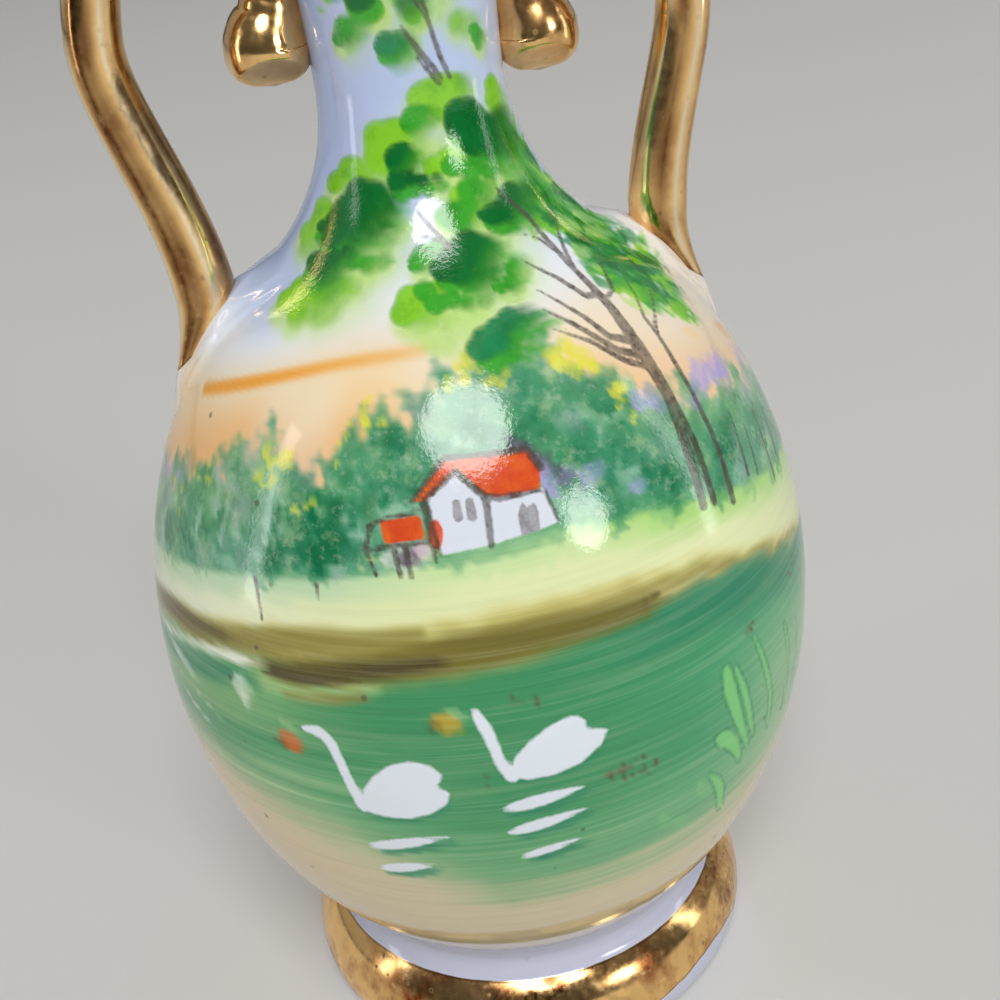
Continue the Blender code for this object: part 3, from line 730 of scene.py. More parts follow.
def paintTreeLine(c):
    draw = np.random.default_rng(21)
    a, z = c.angle, c.level
    top, base = bandAt("treeTop", a), bandAt("treeBase", a)
    ragged = 0.75 * c.middle + 0.35 * c.fine
    body = ease(z, base - 0.25, base + 0.35) * ease(-z - ragged, -top - 0.2, -top + 1.6)
    front = ease(-np.abs(a), -140, -100)
    c.wash(body * (0.40 + 0.45 * front), "treeTeal", enamel=0.7)
    c.wash(body * 0.5 * ease(c.middle, 0.0, 1.0), "treeMist")
    c.wash(body * 0.8 * ease(z, top - 4.4, top - 0.6) * ease(c.middle, -0.9, 0.5) * 0.6, "treeLight")
    for angle, level, size in ((-33, 47.4, 3.2), (-28, 49.6, 3.0), (-21, 50.4, 3.4), (-12, 51.6, 3.6),
                               (-3, 52.6, 3.2), (5, 52.2, 3.4),
                               (14, 50.6, 3.2), (22, 49.6, 3.0), (30, 48.2, 2.8), (44, 47.6, 2.8), (60, 46.4, 2.6),
                               (-62, 46.4, 2.6), (-75, 45.4, 2.4)):
        c.dab(angle, level, size * 1.1, size, 80, "treeTeal", 0.7, 0.3, 0.7, 0.2)
        c.dab(angle + 3, level - 0.6, size * 0.8, size * 0.7, 80, "treeDark", 0.45, 0.5, 0.7, 0.3)
    for _ in range(430):
        angle = draw.uniform(-118, 112)
        share = draw.uniform(0.02, 0.98)
        t, b = float(bandAt("treeTop", angle)), float(bandAt("treeBase", angle))
        level = b + (t - b) * share
        nearWater = 1 - share
        pick = draw.uniform(0, 1)
        if angle < -40 and share > 0.5 or angle > 30 and share > 0.62:
            pick = 0.6 + 0.4 * pick
        if pick < 0.26 + 0.30 * nearWater * (abs(angle + 32) < 16):
            tone = "treeDark"
        elif pick < 0.68:
            tone = "treeTeal"
        elif pick < 0.90:
            tone = "treeLight"
        else:
            tone = "haze"
        size = draw.uniform(0.7, 2.1)
        c.dab(angle, level, size * 1.25, size, draw.uniform(50, 130), tone, draw.uniform(0.22, 0.6), 0.6, 0.75, 0.3)
    # the dark clump left of the cottage, and pale trunks' streaks through the left trees
    for angle, level, size in ((-33, 46.6, 2.6), (-29.5, 47.6, 2.2), (-35.5, 48.2, 2.0), (-26.5, 46.8, 2.0),
                               (-31, 49.0, 1.6),
                               (-38, 46.6, 1.6), (14, 49.0, 1.8), (18, 48.2, 1.6), (28, 47.6, 1.8),
                               (31.5, 46.6, 1.6),
                               (-72, 44.2, 1.8), (-64, 44.8, 1.6), (-82, 43.6, 1.5), (47, 46.0, 1.8),
                               (60, 44.6, 1.6)):
        c.dab(angle, level, size, size * 1.2, 80, "treeDark", 0.6, 0.5, 0.8, 0.3)
    for angle, level, high in ((-42.3, 48.0, 5.0), (-53, 46.6, 2.4), (-60.5, 46.0, 2.2)):
        c.dab(angle, level, high, 0.5, 88, "treeMist", 0.7, 0.2, 0.6, 0.3)
    # yellow bushes and lilac patches along its top
    for angle, level, size in ((-40.5, 50.7, 1.3), (-44.5, 50.2, 1.2), (-35.5, 48.8, 0.8), (-61, 48.7, 0.6),
                               (-70, 46.9, 0.5),
                               (-25, 53.0, 0.9), (-22.5, 52.7, 0.8), (-28.8, 52.3, 0.5), (0.3, 55.2, 1.6),
                               (-3.5, 54.3, 1.2), (3.5, 54.2, 1.1),
                               (17.5, 54.6, 1.7), (21, 54.2, 1.8), (24.5, 53.0, 1.5), (27, 52.0, 1.1),
                               (27.5, 50.9, 0.7)):
        for _ in range(4):
            c.dab(angle + draw.normal() * 1.3, level + draw.normal() * 0.35, size * 0.8, size * 0.62,
                  draw.uniform(20, 120),
                  "yellow", 0.72, 0.5, 0.8, 0.3)
    for angle, level, size in ((51, 50.2, 2.3), (56, 49.9, 2.3), (60, 49.6, 2.0), (73, 48.4, 1.6), (83, 47.4, 1.9),
                               (33, 51.0, 1.6), (35.5, 50.4, 1.2), (45, 49.4, 1.2), (-84, 46.6, 1.8),
                               (-90, 46.2, 1.8), (-78, 47.1, 1.4), (16.5, 48.6, 1.5),
                               (12.2, 48.9, 1.1), (78, 48.0, 1.3), (-72, 47.6, 1.0), (24, 47.2, 1.0)):
        c.dab(angle, level, size * 1.25, size * 0.8, 10, "lilac", 0.72, 0.4, 0.7, 0.22)
    c.dabbed = np.maximum(c.dabbed, body)


# Clumps of leaves in the order of painting, each a row of round touches by angle, height and size
leafClumps = {
    "leafPale": (
        ((2, 64.3, 0.95), (18, 64.3, 0.95), (35, 63.6, 0.95), (20, 63.1, 0.95), (47, 62.8, 0.95), (4, 62.9, 0.64),
         (32, 62.6, 0.95)),
        ((22, 59.9, 0.95), (23, 58.8, 0.95), (15, 58.4, 1.11), (7, 57.7, 1.11), (-2, 57.7, 0.95), (-1, 56.6, 1.11),
         (-7, 56.0, 0.79), (6, 56.4, 0.95), (31, 59.9, 0.79)),
        ((-26, 61.1, 0.79), (-18, 60.8, 0.64), (-32, 59.9, 0.95), (-23, 59.6, 0.79), (-39, 58.4, 0.95),
         (-32, 57.9, 0.95), (-43, 57.5, 0.95), (-52, 57.1, 0.64), (-27, 58.7, 0.64)),
        ((-17, 73.1, 0.64), (-6, 70.8, 0.72), (3, 72.4, 0.64), (19, 72.5, 0.64), (30, 71.4, 0.47)),
    ),
    "leafLight": (
        ((1, 67.9, 0.73), (11, 68.1, 0.73), (20, 68.0, 0.64), (24, 67.4, 0.57), (12, 67.3, 0.64)),
        ((49, 67.7, 0.38), (50, 66.9, 0.54), (54, 66.2, 0.54)),
        ((-26, 65.9, 0.79), (-17, 66.0, 0.76), (-15, 65.0, 0.76), (-27, 64.8, 0.79), (-20, 64.3, 0.64)),
        ((-46, 64.2, 0.67), (-38, 63.9, 0.54), (-57, 63.4, 0.54), (-63, 61.9, 0.54), (-64, 61.2, 0.54),
         (-69, 60.5, 0.57), (-64, 60.1, 0.57)),
        ((-59, 57.4, 0.67), (-56, 58.0, 0.67), (-52, 57.0, 0.57), (-47, 58.1, 0.76), (-43, 57.4, 0.7),
         (-39, 58.3, 0.57), (-63, 57.5, 0.32)),
        ((-16, 57.2, 0.67), (-14, 57.8, 0.73), (-9, 57.9, 0.64), (-11, 57.3, 0.64), (-5, 58.1, 0.57)),
        ((10, 64.2, 0.64), (0, 64.1, 0.47), (12, 62.2, 0.64), (3, 61.3, 0.64), (16, 61.5, 0.64)),
        ((28, 71.6, 0.47), (37, 71.2, 0.41), (-19, 72.9, 0.47), (2, 72.4, 0.38)),
    ),
    "leafMid": (
        ((-5, 66.8, 0.67), (0, 66.9, 0.47), (-9, 66.6, 0.41)),
        ((17, 62.6, 0.7), (24, 62.2, 0.64), (13, 61.7, 0.57), (5, 61.4, 0.7), (8, 60.9, 0.54), (1, 61.4, 0.41)),
        ((-8, 59.7, 0.7), (-12, 59.4, 0.47), (-4, 60.0, 0.54), (-13, 59.2, 0.28)),
        ((-45, 59.7, 0.47), (-38, 59.6, 0.54), (-31, 59.5, 0.47), (-25, 59.6, 0.38)),
        ((21, 58.3, 0.6), (17, 57.7, 0.47), (13, 57.7, 0.41)),
        ((-10, 58.1, 0.57), (-7, 57.5, 0.57), (-2, 57.6, 0.57), (2, 57.4, 0.47), (7, 57.3, 0.38)),
        ((-38, 71.9, 0.67), (-44, 71.5, 0.35), (-30, 72.3, 0.41)),
        ((42, 70.5, 0.38), (39, 71.0, 0.32), (42, 70.0, 0.22)),
        ((10, 63.9, 0.54), (20, 63.5, 0.54), (30, 63.2, 0.54), (42, 63.0, 0.47)),
    ),
    "leafTeal": (
        ((-14, 71.0, 0.64), (-7, 71.2, 0.47), (-18, 70.9, 0.38)),
        ((12, 56.3, 0.73), (16, 56.3, 0.54), (8, 56.1, 0.64), (5, 55.7, 0.79), (7, 55.5, 0.64), (2, 55.3, 0.7)),
    ),
    "leafDark": (
        ((-18, 64.8, 0.64), (-14, 65.2, 0.41)),
        ((-19, 63.5, 0.54), (-12, 63.6, 0.38), (-6, 63.5, 0.32), (1, 63.5, 0.25)),
        ((21, 66.7, 0.7), (28, 66.7, 0.64), (18, 66.0, 0.64), (29, 65.8, 0.88), (39, 65.2, 0.88), (50, 65.4, 0.7),
         (51, 64.4, 0.7), (26, 64.9, 0.7), (37, 64.4, 0.64)),
        ((-40, 62.9, 0.82), (-31, 62.9, 0.79), (-46, 62.1, 0.82), (-33, 62.2, 0.92), (-27, 62.3, 0.64),
         (-50, 61.1, 0.88), (-39, 61.2, 0.88), (-30, 61.5, 0.64), (-51, 60.5, 0.64), (-60, 61.0, 0.32)),
        ((-54, 59.3, 0.7), (-48, 58.9, 0.6), (-47, 59.6, 0.57), (-57, 59.3, 0.38), (-41, 60.0, 0.41)),
        ((36, 61.5, 0.76), (41, 61.4, 0.54), (22, 61.0, 0.64), (28, 61.0, 0.7), (18, 61.1, 0.35), (38, 60.8, 0.54)),
        ((8, 59.8, 0.88), (2, 59.4, 0.92), (8, 59.1, 0.95), (-2, 59.0, 0.79), (3, 58.6, 0.76), (13, 59.6, 0.64),
         (9, 58.6, 0.64), (-4, 58.9, 0.54)),
        ((-27, 73.6, 0.64), (-22, 73.6, 0.47), (0, 73.2, 0.54)),
    ),
}
# The crown's far side: angle, height, spread in degrees and in height, touches
leafBanks = (
    (46, 60.6, 5, 1.3, 30), (55, 60.8, 6, 1.7, 40), (64, 60.4, 5, 1.6, 30), (57, 58.0, 5, 1.0, 26),
    (68, 57.8, 5, 1.4, 30),
    (52, 63.6, 7, 1.4, 26), (64, 63.2, 5, 1.0, 16), (56, 55.0, 5, 0.8, 14), (67, 54.6, 4, 1.2, 24),
    (61, 53.1, 4, 0.6, 10),
    (74, 55.4, 3, 1.0, 8), (50, 56.6, 4, 0.9, 16), (61, 56.2, 5, 1.0, 26), (72, 59.2, 4, 1.0, 18),
    (-170, 64, 30, 4, 40),
    (150, 62, 22, 3, 30), (-12, 74.6, 9, 1.2, 18), (20, 75.4, 10, 1.2, 16),
    (-34, 74.8, 6, 1.4, 12),
)


def paintClump(c, word, lobes, draw):
    # one cloud of joined round touches, crisp at the upper left and wet at the lower right
    lobes = np.array(lobes)
    angle, level = lobes[:, :2].mean(0)
    spots = np.array([c.at(angle, level, q[:2]) for q in lobes])
    grow = {"leafPale": 1.5, "leafLight": 1.3, "leafMid": 1.2}.get(word, 1.14)
    widen = grow / np.maximum(np.cos(np.radians(lobes[:, 0] + 5) * 0.8), 0.5)
    where, local = c.local(angle, level, np.abs(spots).max() + 2.5)
    total = np.zeros(len(where))
    for (x, y), size, wide in zip(spots, lobes[:, 2], widen):
        off = np.hypot((local[:, 0] - x) / (size * wide), (local[:, 1] - y) / (size * grow))
        total += np.exp(-7 * np.minimum(off, 5))
    edge = np.log(total + 1e-9) / 7 + 1 + 0.07 * c.middle[where]
    reach = (spots @ (0.8, -0.6)).max() + 0.6
    along = (local @ np.array((0.8, -0.6))) / reach
    pale = word == "leafPale"
    soft = 0.15 + 0.7 * ease(along, -0.1, 1.0) + 0.3 * pale
    strong = (0.97 - 0.5 * ease(along, 0.1, 1.1)) * (0.78 if pale else 1)
    amount = ease(edge, -soft, soft) * strong
    for x, y, size in lobes:  # wet streaks drawn out of the clump
        if draw.uniform() < 0.6 and not pale:
            c.dab(x + 9 * size, y - 0.25 * size, 2.8 * size, 0.7 * size, -12, word, 0.42, 0.7, 0.4, 0.25)
    if pale:
        c.lay(where, amount, word, 0.9)
        return
    value = np.clip(np.maximum(-edge / soft, 1 - 2 * strong), -8, 8)
    c.edges[word][where] = np.minimum(c.edges[word][where], value)
    c.enamel[where] = np.maximum(c.enamel[where], amount)


def paintLeaves(c):
    draw = np.random.default_rng(8)
    for angle, level, wide, high, _ in leafBanks:
        across = math.radians(wide) * float(radiusAt(level))
        c.dab(angle, level, 2.6 * across, 2.8 * high, -50, "leafPale", 0.85, 0.3, 0.5, 0.3)
        c.dab(angle, level, 2.2 * across, 2.5 * high, -50, "leafMid", 0.7, 0.4, 0.5, 0.35)
    for angle, level, wide, high, count in leafBanks:
        for _ in range(count):
            word = ("leafMid", "leafDark", "leafTeal", "leafDark", "leafLight", "leafPale",
                    "leafMid")[draw.integers(7)]
            size = draw.uniform(0.8, 2.4)
            c.dab(angle + draw.normal() * wide * 0.6, level + draw.normal() * high * 0.6, size * 1.3, size * 0.62,
                  draw.uniform(-75, -35), word, draw.uniform(0.55, 0.9), 0.4, 0.7, 0.2)
    for word, clumps in leafClumps.items():
        under = {"leafDark": "leafMid", "leafTeal": "leafMid", "leafMid": "leafPale",
                 "leafLight": "leafPale"}.get(word)
        for lobes in clumps:
            if under:  # a paler coat shows past the lower right of each clump
                paintClump(c, under, [(x + 2.0, y - 0.5, size * 1.1) for x, y, size in lobes], draw)
            paintClump(c, word, lobes, draw)
    c.dabbed = np.maximum(c.dabbed, c.enamel * ease(c.level, 55, 57))


# Drawn lines: widths from first to last place, then places as angle and height
trunks = (
    ((0.7, 0.8, 0.95, 1.05, 0.7, 0.5, 0.42, 0.36, 0.12), ((35.2, 44.5), (36.6, 47.6), (38.7, 50.3), (39.2, 53.2),
                                                          (40.1, 55.3),
                                                  (40.0, 56.8), (39.6, 58.4), (37.8, 60.4), (29.5, 62.2))),
    ((0.55, 0.5, 0.4, 0.4), ((37.8, 44.3), (39.2, 47.8), (39.6, 50.3), (39.4, 52.6))),
    ((0.55, 0.42, 0.42, 0.4, 0.34, 0.3, 0.2, 0.12), ((42.4, 43.6), (44.2, 46.8), (45.1, 49.7), (45.8, 51.7),
                                                     (46.8, 53.1),
                                                     (47.1, 54.1), (50.9, 55.1), (55.9, 56.6))),
    ((0.34, 0.3, 0.22, 0.12), ((40.1, 55.6), (45.6, 55.8), (50.2, 56.8), (57.6, 57.5))),
    ((0.36, 0.36, 0.26, 0.1), ((40.0, 57.2), (41.5, 57.8), (44.6, 58.6), (50.0, 59.6))),
    ((0.3, 0.3, 0.22, 0.1), ((46.8, 53.1), (49.1, 53.6), (55.8, 54.5), (63.3, 55.8))),
    ((0.22, 0.12), ((55.8, 54.5), (62.7, 54.5))),
    ((0.5, 0.42, 0.34, 0.12), ((39.9, 56.0), (35.9, 56.1), (32.0, 57.3), (24.7, 58.5))),
    ((0.6, 0.46, 0.36, 0.12), ((39.2, 53.4), (33.6, 54.2), (31.2, 55.3), (23.6, 57.1))),
    ((0.6, 0.46, 0.36, 0.12), ((39.2, 52.6), (33.4, 53.5), (26.9, 55.3), (21.6, 56.3))),
    ((0.5, 0.4, 0.3, 0.1), ((39.0, 52.0), (33.6, 52.9), (28.0, 54.4), (21.1, 55.4))),
    ((0.3, 0.22, 0.1), ((40.0, 58.0), (36.0, 59.2), (31.0, 59.6))),
)
fineLines = (
    ((0.2, 0.4), ((-10.4, 61.9), (-4.0, 60.8), (0.4, 60.0))), ((0.16, 0.3),
                                                               ((-10.8, 60.7), (-5.6, 60.5), (-1.0, 60.2))),
    ((0.16, 0.24), ((-9.6, 60.0), (-5.2, 59.8))),
    ((0.2, 0.42, 0.3), ((-5.6, 71.9), (4.0, 70.2), (13.4, 68.8))), ((0.2, 0.34), ((1.2, 70.1), (11.4, 68.5))),
    ((0.3, 0.3, 0.2), ((18.5, 68.7), (14.2, 69.9), (8.0, 73.0), (9.0, 75.4))),
    ((0.2, 0.16), ((10.0, 72.0), (-2.0, 74.2))),
    ((0.16, 0.36), ((52.7, 47.8), (49.3, 44.1))), ((0.16, 0.34), ((55.4, 46.5), (52.5, 43.6))),
    ((0.16, 0.36), ((61.7, 46.4), (58.4, 42.2))), ((0.16, 0.32), ((68.9, 45.8), (63.8, 42.9))),
    ((0.16, 0.3), ((74.0, 45.2), (69.5, 41.9))),
    ((0.34, 0.18), ((-44.1, 44.4), (-42.4, 42.0))), ((0.26, 0.16), ((-32.0, 44.7), (-31.8, 43.8))),
)


def paintTrunks(c):
    for widths, places in trunks + fineLines:
        c.stroke("ink", places, widths)


# A small house, drawn in millimetres round the foot of its near corner post
cottage = {
    "place": (-3.0, 46.4),
    "gable": ((-3.15, 2.95), (-1.35, 4.3), (0.15, 2.6), (0.0, 0.0), (-2.85, -0.25)),
    "side": ((0.1, 2.7), (3.45, 2.5), (3.55, 1.9), (3.95, 0.4), (0.0, 0.0)),
    "roof": ((-1.45, 5.0), (0.6, 4.9), (2.8, 4.75), (3.4, 3.5), (3.2, 2.45), (0.85, 2.5), (0.0, 2.8), (-1.1, 4.35)),
    "eave": ((-4.0, 2.8), (-1.8, 5.0), (-1.1, 4.8), (-1.3, 4.35), (-3.2, 2.85)),
    "shed": ((-6.0, 1.85), (-3.65, 2.1), (-3.55, 0.75), (-5.95, 0.55)),
    "windows": ((-1.55, 2.15, 0.55, 1.35), (-0.8, 2.1, 0.58, 1.4)),
    "door": ((1.75, 0.15), (1.7, 1.35), (2.05, 2.0), (2.35, 1.6), (2.75, 1.95), (2.9, 1.2), (2.85, 0.25)),
    # drawn lines: widths, then places
    "lines": (
        ((0.34, 0.42, 0.46, 0.36), ((-3.2, 2.95), (-1.35, 4.3), (0.12, 2.65), (0.0, -0.1))),
        ((0.55, 0.36, 0.2), ((-3.3, 2.7), (-3.05, 1.2), (-2.85, -0.25))),
        ((0.32, 0.38, 0.42, 0.5), ((-4.0, 2.85), (-1.8, 5.1), (0.6, 4.95), (2.8, 4.8), (3.45, 3.6))),
        ((0.4, 0.46, 0.3), ((0.2, 2.65), (0.9, 2.45), (3.2, 2.45))),
        ((0.26, 0.2), ((3.45, 2.3), (3.95, 0.5))),
        ((0.3, 0.3, 0.26), ((-6.7, 1.55), (-5.6, 2.0), (-3.6, 2.3))),
        ((0.36, 0.3, 0.3), ((-6.5, 1.6), (-7.2, 0.15), (-6.0, 0.4), (-3.4, 0.6))),
        ((0.3, 0.2), ((-7.0, 0.0), (-6.7, -1.25))), ((0.3, 0.24), ((-3.35, 2.2), (-3.15, -0.6))),
        ((0.4, 0.3), ((-5.4, 0.2), (-5.3, -1.3))), ((0.4, 0.3), ((-4.75, 0.2), (-4.7, -1.3))),
    ),
}


def paintCottage(c):
    s = cottage
    spot = s["place"]

    def near(x, y):
        return c.spotAt(*spot, x, y)

    # soft green shade on the ground, and a smear of dusk behind the far gable
    c.dab(*near(-0.6, -0.7), 13.0, 2.2, -3, "meadowGreen", 0.85, 0.3, 0.2)
    c.dab(*near(0.4, -0.35), 9.6, 1.1, 4, "treeTeal", 0.5, 0.2, 0.3)
    for i in range(8):
        c.dab(*near(2.3 + 0.38 * i, 5.1 - 0.38 * i), 1.7, 1.1, -48, "plum", 0.55 - 0.05 * i, 0.4, 0.7, 0.3)
    c.dab(*near(3.75, 2.9), 1.0, 2.3, 10, "lilac", 0.8, 0.3, 0.6)
    c.dab(*near(-5.0, -0.2), 2.4, 1.6, 0, "wall", 0.7, 0.2, 0.3)
    for word in ("gable", "side"):
        c.outline("wall", *spot, s[word])
    for word in ("roof", "eave", "shed"):
        c.outline("roof", *spot, s[word])
    c.outline("roof", *near(-2.95, 0.95), [(0.42 * math.cos(t), 0.85 * math.sin(t)) for t in np.linspace(0, 6, 12)])
    c.dab(*near(-4.6, -0.2), 1.3, 1.1, 0, "plum", 0.85, 0.1, 0.3)
    c.dab(*near(-3.8, 0.1), 1.1, 1.0, 0, "plumPale", 0.8, 0.3, 0.3)
    for widths, places in s["lines"]:
        c.stroke("ink", [near(*q) for q in places], widths)
    for x, y, wide, high in s["windows"]:
        c.stroke("shade", [near(x, y + way * (high - wide) / 2) for way in (-1, 1)], (wide, wide * 0.8))
    c.outline("shade", *spot, s["door"])


# Water birds kept white out of the green: body and neck in millimetres from the foot of the neck, the touch of
# colour at the bill by angle, height and tone, and ripples by angle, height, length, height and turn
birds = (
    {"place": (-28.9, 30.5),
     "body": ((0.0, 0.0), (0.5, 1.3), (1.3, 2.4), (2.5, 3.3), (3.8, 3.6), (4.9, 3.3), (5.6, 2.5), (5.0, 1.7),
              (5.8, 1.3),
              (5.5, 0.4), (4.4, -0.4), (3.0, -0.8), (1.5, -0.8), (0.3, -0.5)),
     "neck": ((0.2, -0.2), (-0.2, 1.1), (-0.5, 2.2), (-0.8, 3.4), (-1.2, 4.5), (-1.9, 5.1), (-2.9, 5.1)),
     "bill": (-39.1, 34.4, "bill"), "ripples": ((-22.7, 27.5, 5.8, 0.85, 14), (-24.0, 25.1, 4.1, 0.85, 13))},
    {"place": (-5.6, 32.6),
     "body": ((0.0, 0.0), (0.5, 1.2), (1.4, 2.1), (2.5, 2.8), (3.6, 3.2), (4.3, 3.2), (4.9, 2.8), (4.9, 2.1),
              (6.2, 1.7),
              (5.7, 0.8), (4.4, -0.1), (2.7, -0.5), (1.1, -0.5)),
     "neck": ((0.2, -0.1), (-0.3, 0.9), (-0.6, 2.2), (-0.9, 3.4), (-1.4, 4.7)),
     "bill": (-13.4, 36.6, "billYellow"),
     "ripples": ((-0.9, 30.4, 5.3, 0.9, 7), (-0.8, 28.5, 5.1, 0.85, 9), (-0.7, 26.1, 4.2, 0.65, 10))},
)
neckWidths = (0.8, 0.7, 0.62, 0.66, 0.72, 0.75, 0.35)


def paintBirds(c):
    for one in birds:
        place = one["place"]
        # a dark brush line under the body, then the body and neck left white
        where, distance = c.outline(None, *place, one["body"])
        under = ease(place[1] - c.level[where], -1.4, 0.2)
        c.lay(where, 0.6 * ease(-np.abs(distance - 0.1), -0.42, -0.05) * under, "lakeDark")
        c.outline("reserve", *place, one["body"])
        c.stroke("reserve", smoothPlaces([c.spotAt(*place, *q) for q in one["neck"]], 4), neckWidths)
        spot, up, word = one["bill"]
        c.dab(spot, up, 1.9, 1.4, -25, word, 0.97, 0.1, 0.9, 0.1)
        c.dab(spot - 2.0, up - 0.2, 0.9, 0.8, -20, "bankDark", 0.4, 0.2, 0.9, 0.3)
        headAcross, headUp = one["neck"][-1]
        c.dab(*c.spotAt(*place, headAcross - 1.0, headUp - 0.15), 1.7, 0.6, -28, "reserveGreen", 0.6, 0.25, 0.2,
              0.1)
        for spot, up, long, high, turn in one["ripples"]:
            c.dab(*c.spotAt(spot, up, 0.3, -0.5), long * 0.9, high * 1.1, turn, "lakeDark", 0.85, 0.1, 0.1, 0.1)
            lens = [(long / 2 * math.cos(t),
                     high / 2 * math.sin(t) * (1 - 0.45 * math.cos(t)) * abs(math.sin(t)) ** 0.4)
                    for t in np.linspace(0, 2 * math.pi, 25)[:-1]]
            c.outline("reserve", spot, up, lens, turn)


# Reed leaves at the right: places from tip to foot, and widths
reeds = (
    (((31.9, 34.3), (32.4, 32.6), (34.0, 30.2), (37.0, 27.0)), (0.6, 1.05, 0.8, 0.25)),
    (((34.0, 33.9), (35.6, 32.0), (37.2, 29.4), (38.6, 27.4)), (0.25, 0.55, 0.5, 0.15)),
    (((29.4, 29.6), (30.9, 29.2), (33.2, 28.1), (35.2, 26.2)), (0.6, 1.2, 0.9, 0.2)),
    (((27.9, 26.9), (30.4, 25.2), (31.8, 22.8)), (0.2, 0.7, 0.45)),
    (((39.4, 35.0), (42.0, 32.0), (43.6, 29.4), (43.6, 26.8)), (0.16, 0.4, 0.4, 0.16)),
    (((49.4, 33.6), (50.8, 30.6), (50.2, 26.8)), (0.16, 0.36, 0.2)),
    (((55.2, 32.2), (55.6, 29.8), (54.4, 27.4)), (0.16, 0.36, 0.2)),
)


def paintReeds(c):
    for places, widths in reeds:
        places = smoothPlaces(places)
        where, distance = c.stroke("reed", places, widths)
        c.lay(where, 0.55 * ease(-np.abs(distance - 0.05), -0.2, -0.02), "reedDark")
    for spot, up, long in ((19.0, 24.9, 2.2), (22.4, 24.0, 2.0), (26.6, 25.8, 2.6)):
        c.dab(spot, up, long, 0.9, -58, "reed", 0.4, 0.5, 0.3, 0.15)


def smoothPlaces(places, steps=8):
    # rounds a drawn line by running a smooth curve through its places
    p = np.array([places[0], *places, places[-1]], float)
    made = []
    for a, b, c, d in zip(p, p[1:], p[2:], p[3:]):
        for t in np.arange(steps) / steps:
            made.append(0.5 * (2 * b + (c - a) * t + (2 * a - 5 * b + 4 * c - d) * t * t + (3 * b - a - 3 * c + d) * t ** 3))
    return [tuple(q) for q in made] + [tuple(places[-1])]


def paintStrokes(c):
    # the long orange stroke in the evening sky, light on the water and stray touches
    places = smoothPlaces(((-74, 52.3), (-57, 53.7), (-42, 54.7), (-29, 55.3), (-11, 55.7)), 5)
    where, distance = c.stroke("none", places, (0.62, 0.68, 0.5, 0.3, 0.15), reach=26)
    fade = ease(-c.angle[where], 4, 58)
    soft = 0.34 + 0.5 * (1 - fade)
    c.lay(where, (0.30 + 0.68 * fade) * ease(-distance, -soft, 0.2), "sunStroke")
    c.lay(where, 0.3 * ease(-distance, -2.2, 0.0) * fade, "peach")
    c.dab(76, 49.9, 2.6, 1.2, -40, "sunset", 0.8, 0.3, 0.3)
    c.dab(58, 52.0, 2.0, 1.0, -40, "peach", 0.8, 0.3, 0.3)
    for angle, level, long, wide, strength in ((-63, 33.1, 4.5, 0.35, 0.8), (-58, 34.2, 3.2, 0.3, 0.5),
                                               (-47.8, 37.2, 1.7, 1.6, 0.85),
                                               (-47.4, 36.3, 0.8, 1.2, 0.7), (-66, 36.3, 4.6, 0.9, 0.85)):
        c.dab(angle, level, long, wide, -16 if long > 2 else 0, "meadowWhite", strength, 0.4, 0.3, 0.1)


def paintSpecks(c):
    # brown dirt burnt into the glaze, in small groups
    draw = np.random.default_rng(5)
    for angle, level, spread, count in ((11.5, 31.0, 0.7, 34), (15.0, 30.2, 0.45, 16), (39.0, 35.7, 0.4, 14),
                                        (55.2, 36.3, 0.5, 10),
                                        (20.5, 41.1, 0.5, 8), (-1.5, 37.4, 0.5, 10), (-25.6, 30.9, 0.3, 7),
                                        (31.8, 39.9, 0.5, 7),
                                        (-6, 33.2, 1.2, 4)):
        for _ in range(count):
            size = draw.uniform(0.12, 0.26)
            c.dab(angle + math.degrees(draw.normal() * spread / float(radiusAt(level))),
                  level + draw.normal() * spread * 0.5,
                  size * 1.4, size, draw.uniform(0, 180), "speck", draw.uniform(0.5, 0.9), 0.1, 0.2, 0.3)


canvas = Canvas(paintPoints)
paintGround(canvas)
paintBank(canvas)
paintStrokes(canvas)
paintTreeLine(canvas)
paintLeaves(canvas)
paintCottage(canvas)
paintTrunks(canvas)
paintBirds(canvas)
paintReeds(canvas)
paintSpecks(canvas)
print("picture painted on", len(paintPoints), "points")

gilding = {
    "footLow": 1.15, "footHigh": 7.2, "rimRise": 2.3, "rimAngle": 42, "rimSpread": 30,
    "stains": ((-6, 17, 1.0), (62, 9, 0.7)),  # angle, spread, strength
    "lipOuter": 93.6, "lipInner": 94.6, "bareLevel": 0.35, "bareRecess": 0.4,
}


